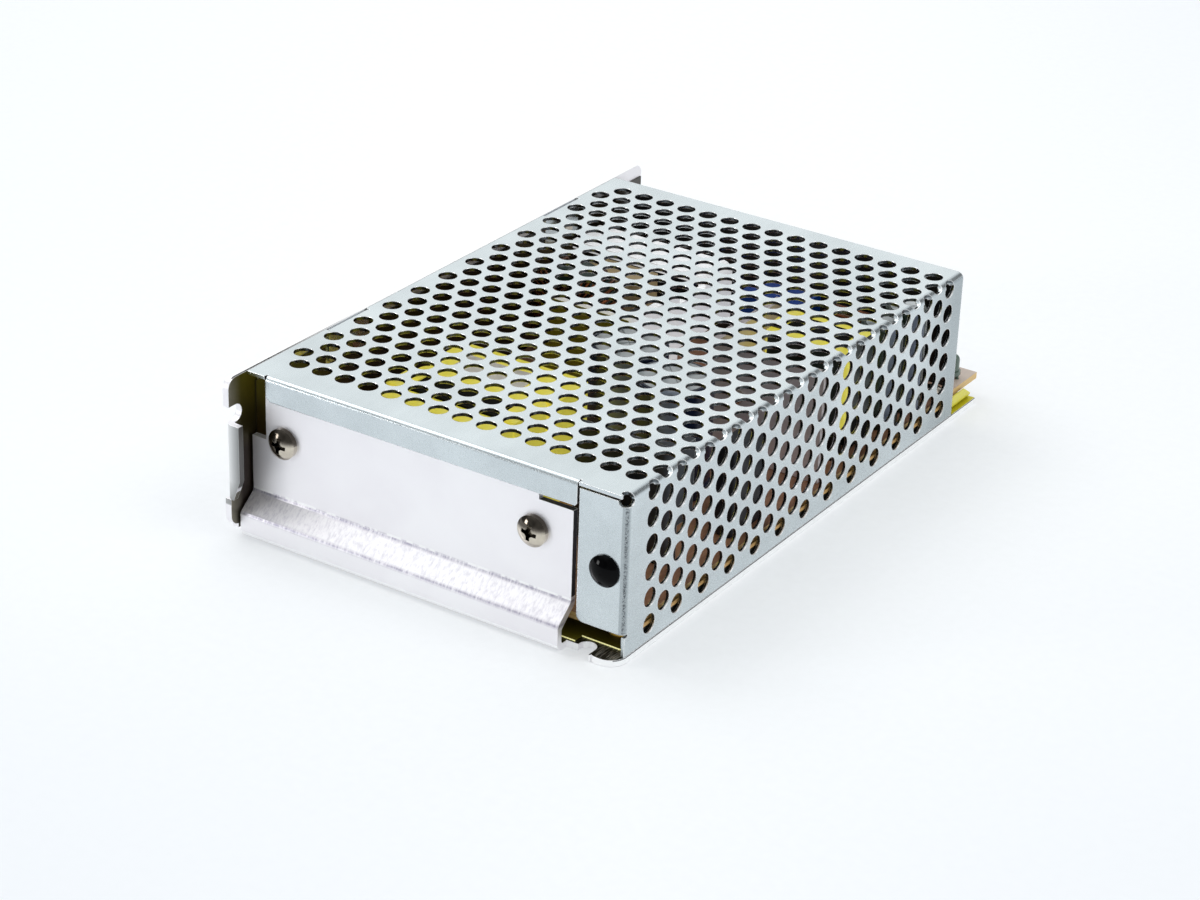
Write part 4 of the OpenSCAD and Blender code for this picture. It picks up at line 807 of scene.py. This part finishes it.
POLES = range(1, 8)
ASSEMBLIES = (
    Assembly("case", {
        "bent_aluminium": ("chassis",),
        "zinc_sheet": ("cover",),
        "nickel_with_painted_dark_top": ("end_plate_screws",),
        "nickel": ("cover_screws", "inner_screws"),
        "black_gloss": ("corner_plug",),
        "film": ("insulating_film",),
        "olive_film": ("heatsink_film",),
    }),
    Assembly("terminals", {
        "black_block": ("terminal_block",),
        "tin": ("terminal_plates",),
        "nickel_flat": tuple(f"terminal_clamp_{i}" for i in POLES),
        "nickel": tuple(f"terminal_screw_{i}" for i in POLES),
        "trimmer_blue": ("trimmer_body",),
        "trimmer_white": ("trimmer_rotor",),
        "lamp": ("indicator_led",),
    }),
    Assembly("board", {
        "board": ("circuit_board",),
        "brass": ("standoffs",),
        "glass": ("fuse_tube",),
        "tin": ("fuse_caps",),
        "black_dip": ("thermistor",),
        "beige_box": ("line_capacitor",),
        "blue_dip": ("safety_capacitors",),
        "blue_box": ("blue_capacitor",),
        "grey_box": ("film_capacitor",),
        "bulk_cans": ("bulk_capacitor_front", "bulk_capacitor_rear"),
        "output_cans": ("output_capacitors",),
        "ferrite": ("main_transformer_core", "output_transformer_core"),
        "phenolic": ("main_transformer_bobbin", "output_transformer_bobbin"),
        "tape": ("main_transformer_winding", "drive_transformer"),
        "tape_painted_dark_in_part": ("output_transformer_winding",),
        "green_core": ("line_choke_core",),
        "powder_core": ("output_choke_core",),
        "copper_wire": ("line_choke_winding", "output_choke_winding"),
        "black_epoxy": ("clamped_transistors", "screwed_semiconductors", "bridge_rectifier", "control_ic"),
        "pad": ("thermal_pad",),
        "steel": ("clamp_bar",),
        "dark_aluminium": ("primary_heatsink",),
        "bright_aluminium": ("shelf_heatsink",),
        "warm_aluminium": ("output_heatsink",),
        "resistor": ("resistors",),
    }),
)


def settle(obj: bpy.types.Object, name: str, material: bpy.types.Material) -> None:
    """Names a new piece, gives it its finish and fixes it to the case.

    Args:
        obj: The piece.
        name: Its name.
        material: Its finish.
    """
    obj.name = name
    obj.data.materials.clear()
    obj.data.materials.append(material)
    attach(obj, "case")


@dataclass(frozen=True)
class WireTurns:
    """Real turns of wire on a standing ring core, in place of the plain coil.

    The ring stands in the plane of `across` and Z. Lengths are in millimetres and angles in
    degrees, from the `across` direction towards Z.
    """

    name: str
    stands_for: str
    centre: tuple[float, float, float]
    across: Axis
    outer: float
    inner: float
    half_width: float
    wire: float
    runs: tuple[tuple[float, float, int], ...]
    pins: tuple[tuple[float, float, float], ...]

    def point(self, angle: float, radius: float, axial: float) -> Vector:
        """A place on the ring.

        Args:
            angle: Angle round the ring, in degrees.
            radius: Distance from its axis.
            axial: Distance along its axis.

        Returns:
            The point in metres.
        """
        a = math.radians(angle)
        flat, up = radius * math.cos(a), radius * math.sin(a)
        x, y = (flat, axial) if self.across is Axis.X else (axial, flat)
        return Vector((self.centre[0] + x, self.centre[1] + y, self.centre[2] + up)) * MM

    def run(self, start: float, end: float, turns: int) -> list[Vector]:
        """The path of one winding, round the core's square section with eased corners."""
        r0, r1, h = self.inner - self.wire / 2, self.outer + self.wire / 2, self.half_width + self.wire / 2
        ease = self.wire * 0.45
        loop = ((r1, -h + ease), (r1, h - ease), (r1 - ease, h), (r0 + ease, h),
                (r0, h - ease), (r0, -h + ease), (r0 + ease, -h), (r1 - ease, -h))
        path = []
        for k in range(turns * len(loop) + 1):
            radius, axial = loop[k % len(loop)]
            path.append(self.point(start + (end - start) * k / (turns * len(loop)), radius, axial))
        return path

    def build(self, material: bpy.types.Material) -> None:
        """Makes the wire, and hides the plain coil.

        Args:
            material: The wire's finish.
        """
        data = bpy.data.curves.new(self.name, "CURVE")
        data.dimensions = "3D"
        data.bevel_depth = self.wire / 2 * MM
        data.bevel_resolution = 2
        data.use_fill_caps = True
        paths = [self.run(*run) for run in self.runs]
        paths += [[Vector((x, y, LEAD_Z)) * MM, Vector((x, y, top)) * MM] for x, y, top in self.pins]
        for path in paths:
            spline = data.splines.new("POLY")
            spline.points.add(len(path) - 1)
            for place, point in zip(path, spline.points):
                point.co = (*place, 1.0)
        wire = bpy.data.objects.new(self.name, data)
        bpy.context.scene.collection.objects.link(wire)
        bpy.ops.object.select_all(action="DESELECT")
        wire.select_set(True)
        bpy.context.view_layer.objects.active = wire
        bpy.ops.object.convert(target="MESH")
        wire = bpy.context.view_layer.objects.active
        for face in wire.data.polygons:
            face.use_smooth = True
        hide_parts(self.stands_for)
        settle(wire, self.name, material)


@dataclass(frozen=True)
class BareLabel:
    """A small unprinted label on the second transformer's tape, in millimetres."""

    low: tuple[float, float]
    high: tuple[float, float]
    top: float
    paper: float = 0.08
    glue: float = 0.03
    lift: float = 1.2
    flat_to: float = 0.7

    def build(self, material: bpy.types.Material) -> None:
        """Makes the label with a corner that lifts a little.

        Args:
            material: Its finish.
        """
        bpy.ops.object.select_all(action="DESELECT")
        bpy.ops.mesh.primitive_grid_add(x_subdivisions=12, y_subdivisions=6, size=1.0,
                                        location=(0, 0, 0))
        label = bpy.context.active_object
        middle = [(a + b) / 2 * MM for a, b in zip(self.low, self.high)]
        size = [(b - a) * MM for a, b in zip(self.low, self.high)]
        for v in label.data.vertices:
            lift = max(0.0, v.co.x + v.co.y - self.flat_to) * self.lift * MM
            v.co = (middle[0] + v.co.x * size[0], middle[1] + v.co.y * size[1],
                    (self.top + self.glue) * MM + lift)
        solid = label.modifiers.new("paper", "SOLIDIFY")
        solid.thickness = self.paper * MM
        solid.offset = 1.0
        bpy.ops.object.modifier_apply(modifier="paper")
        settle(label, "bare_label", material)


def add_details(finishes: dict[str, bpy.types.Material]) -> None:
    """Adds the turns of wire and the bare label.

    Args:
        finishes: The finished materials by their keys.
    """
    x, y = -33.5, MID_Y + 30.0
    WireTurns(
        "line_choke_turns", "line_choke_winding", (x, y, BOARD_TOP + 14.0), Axis.X,
        outer=10.9, inner=6.15, half_width=3.6, wire=0.95,
        runs=((-64.0, 64.0, 17), (116.0, 244.0, 17)),
        pins=tuple((x + i * 6.0, y + j * 4.1, BOARD_TOP + 3.4) for i in (-1, 1) for j in (-1, 1)),
    ).build(finishes["copper_wire"])
    x, y = 27.0, MID_Y + 52.0
    WireTurns(
        "output_choke_turns", "output_choke_winding", (x, y, BOARD_TOP + 11.6), Axis.Y,
        outer=9.3, inner=5.35, half_width=4.1, wire=0.95,
        runs=((-59.0, 239.0, 26),),
        pins=tuple((x + i * 4.6, y + i * 6.03, BOARD_TOP + 3.3) for i in (-1, 1)),
    ).build(finishes["copper_wire"])
    BareLabel((-21.5, MID_Y - 36.2), (-3.0, MID_Y - 28.6), 32.4).build(finishes["label_paper"])


# The photograph


@dataclass(frozen=True)
class PhotoCamera:
    """The camera that took the photograph, found from the punched holes."""

    position: tuple[float, float, float] = (329.1, MID_Y - 517.9, 311.1)
    azimuth: float = 32.871
    elevation: float = 26.574
    roll: float = 1.940
    lens: float = 90.88

    def build(self) -> None:
        """Creates the camera and makes it the scene's own."""
        a, e, r = (math.radians(v) for v in (self.azimuth, self.elevation, self.roll))
        back = Vector((math.sin(a) * math.cos(e), -math.cos(a) * math.cos(e), math.sin(e)))
        level = Vector((math.cos(a), math.sin(a), 0.0))
        up = back.cross(level)
        right = level * math.cos(r) + up * math.sin(r)
        up = back.cross(right)
        data = bpy.data.cameras.new("photo_camera")
        data.lens = self.lens
        data.sensor_width = 36.0
        data.clip_start = 0.01
        data.clip_end = 20.0
        obj = bpy.data.objects.new("photo_camera", data)
        turn = Matrix((right, up, back)).transposed().to_4x4()
        obj.matrix_world = Matrix.Translation(Vector(self.position) * MM) @ turn
        bpy.context.scene.collection.objects.link(obj)
        bpy.context.scene.camera = obj


@dataclass(frozen=True)
class Lamp:
    """A soft box that points at the case, in metres and watts."""

    name: str
    place: tuple[float, float, float]
    size: float
    power: float
    colour: str = WHITE

    def build(self) -> None:
        """Creates the light."""
        data = bpy.data.lights.new(self.name, "AREA")
        data.shape = "SQUARE"
        data.size = self.size
        data.energy = self.power
        data.color = linear(self.colour)[:3]
        obj = bpy.data.objects.new(self.name, data)
        obj.location = self.place
        obj.rotation_euler = (-Vector(self.place)).to_track_quat("-Z", "Y").to_euler()
        bpy.context.scene.collection.objects.link(obj)


@dataclass(frozen=True)
class Flag:
    """A dark patch of the room in one direction, full inside one cosine and gone past another."""

    way: tuple[float, float, float]
    full: float
    gone: float
    keep: float


# Soft boxes stand well off the zenith, so that the top doesn't burn out when it is seen from above
LAMPS = (
    Lamp("left_box", (-0.95, -0.1, 1.2), 0.8, 5.2),
    Lamp("right_box", (0.85, 0.1, 1.25), 0.8, 5.0),
    Lamp("rear_left_box", (-0.95, 1.45, 0.88), 1.1, 0.9, "#fffdf4"),
    Lamp("front_left_box", (-1.25, -1.25, 0.32), 0.4, 6.0),
)
# The first flag is the photographer. The screw heads, the plug and the bends mirror them all.
FLAGS = (
    Flag((0.30, -0.85, 0.42), 0.93, 0.80, 0.36),
    Flag((-0.45, -0.87, 0.22), 0.95, 0.86, 0.3),
    Flag((0.42, 0.75, 0.48), 0.97, 0.88, 0.2),
    Flag((-0.90, -0.43, 0.06), 0.95, 0.88, 0.35),
    Flag((-0.93, -0.10, 0.35), 0.93, 0.80, 0.55),
)


@dataclass(frozen=True)
class Studio:
    """A lit white table in a pale room, with soft boxes and flags."""

    room_strength: float = 0.95
    room_colour: str = "#f7fafc"
    table_size: float = 12.0
    table_z: float = -0.0001
    table_glow: float = 0.33
    # Sine and cosine of the camera's azimuth, and where the fall-off starts and ends
    towards: tuple[float, float] = (0.543, 0.84)
    fall_off: tuple[float, float] = (60.0, 360.0)

    def table(self) -> None:
        """Makes the table that the case lies on."""
        bpy.ops.mesh.primitive_plane_add(size=self.table_size, location=(0, 0, self.table_z))
        obj = bpy.context.active_object
        obj.name = "studio_floor"
        s = Surface("opal acrylic table")
        # Matt opal acrylic with a grain too fine to see. It is lit from below as well, which
        # keeps shadows thin, and it falls off a little towards the photographer and the sides.
        x, y, _ = s.place
        sine, cosine = self.towards
        near = s.maths("SUBTRACT", s.both(x, sine), s.both(y, cosine))
        aside = s.size(s.total(s.both(x, cosine), s.both(y, sine)))
        far = s.remap(s.total(s.either(near, 0.0), aside), *self.fall_off)
        skin = s.blend(s.remap(s.noise(400.0, 2.0), 0.3, 0.7), "#cfd1d2", "#d2d4d5")
        s.feed("Base Color", s.blend(far, skin, "#bfc3c8"))
        s.set(Roughness=0.9, Specular_IOR_Level=0.1, Emission_Color=linear("#fbfdff"),
              Emission_Strength=self.table_glow)
        obj.data.materials.append(s.material)

    def room(self) -> None:
        """Lights the set from all round, less from where a flag stands."""
        world = bpy.data.worlds.new("studio_light")
        world.use_nodes = True
        nodes = Nodes(world.node_tree)
        shade = world.node_tree.nodes["Background"]
        shade.inputs["Color"].default_value = linear(self.room_colour)
        look = nodes.add("ShaderNodeTexCoord").outputs["Generated"]
        level = self.room_strength
        for flag in FLAGS:
            lean = nodes.add("ShaderNodeVectorMath", {0: look}, {1: Vector(flag.way).normalized()},
                             operation="DOT_PRODUCT")
            left = nodes.remap(lean.outputs["Value"], flag.gone, flag.full, 1.0, flag.keep)
            level = nodes.both(level, left)
        world.node_tree.links.new(level, shade.inputs["Strength"])
        bpy.context.scene.world = world

    def build(self) -> None:
        """Creates the set."""
        self.table()
        self.room()
        for lamp in LAMPS:
            lamp.build()
        bpy.context.scene.view_settings.view_transform = "Standard"


def main() -> None:
    """Builds the whole scene."""
    logging.basicConfig(level=logging.INFO, format="%(message)s")
    PhotoCamera().build()
    finishes = {key: finish.build() for key, finish in FINISHES.items()}
    for assembly in ASSEMBLIES:
        assembly.dress(finishes)
    add_details(finishes)
    Studio().build()


if __name__ == "__main__":
    main()
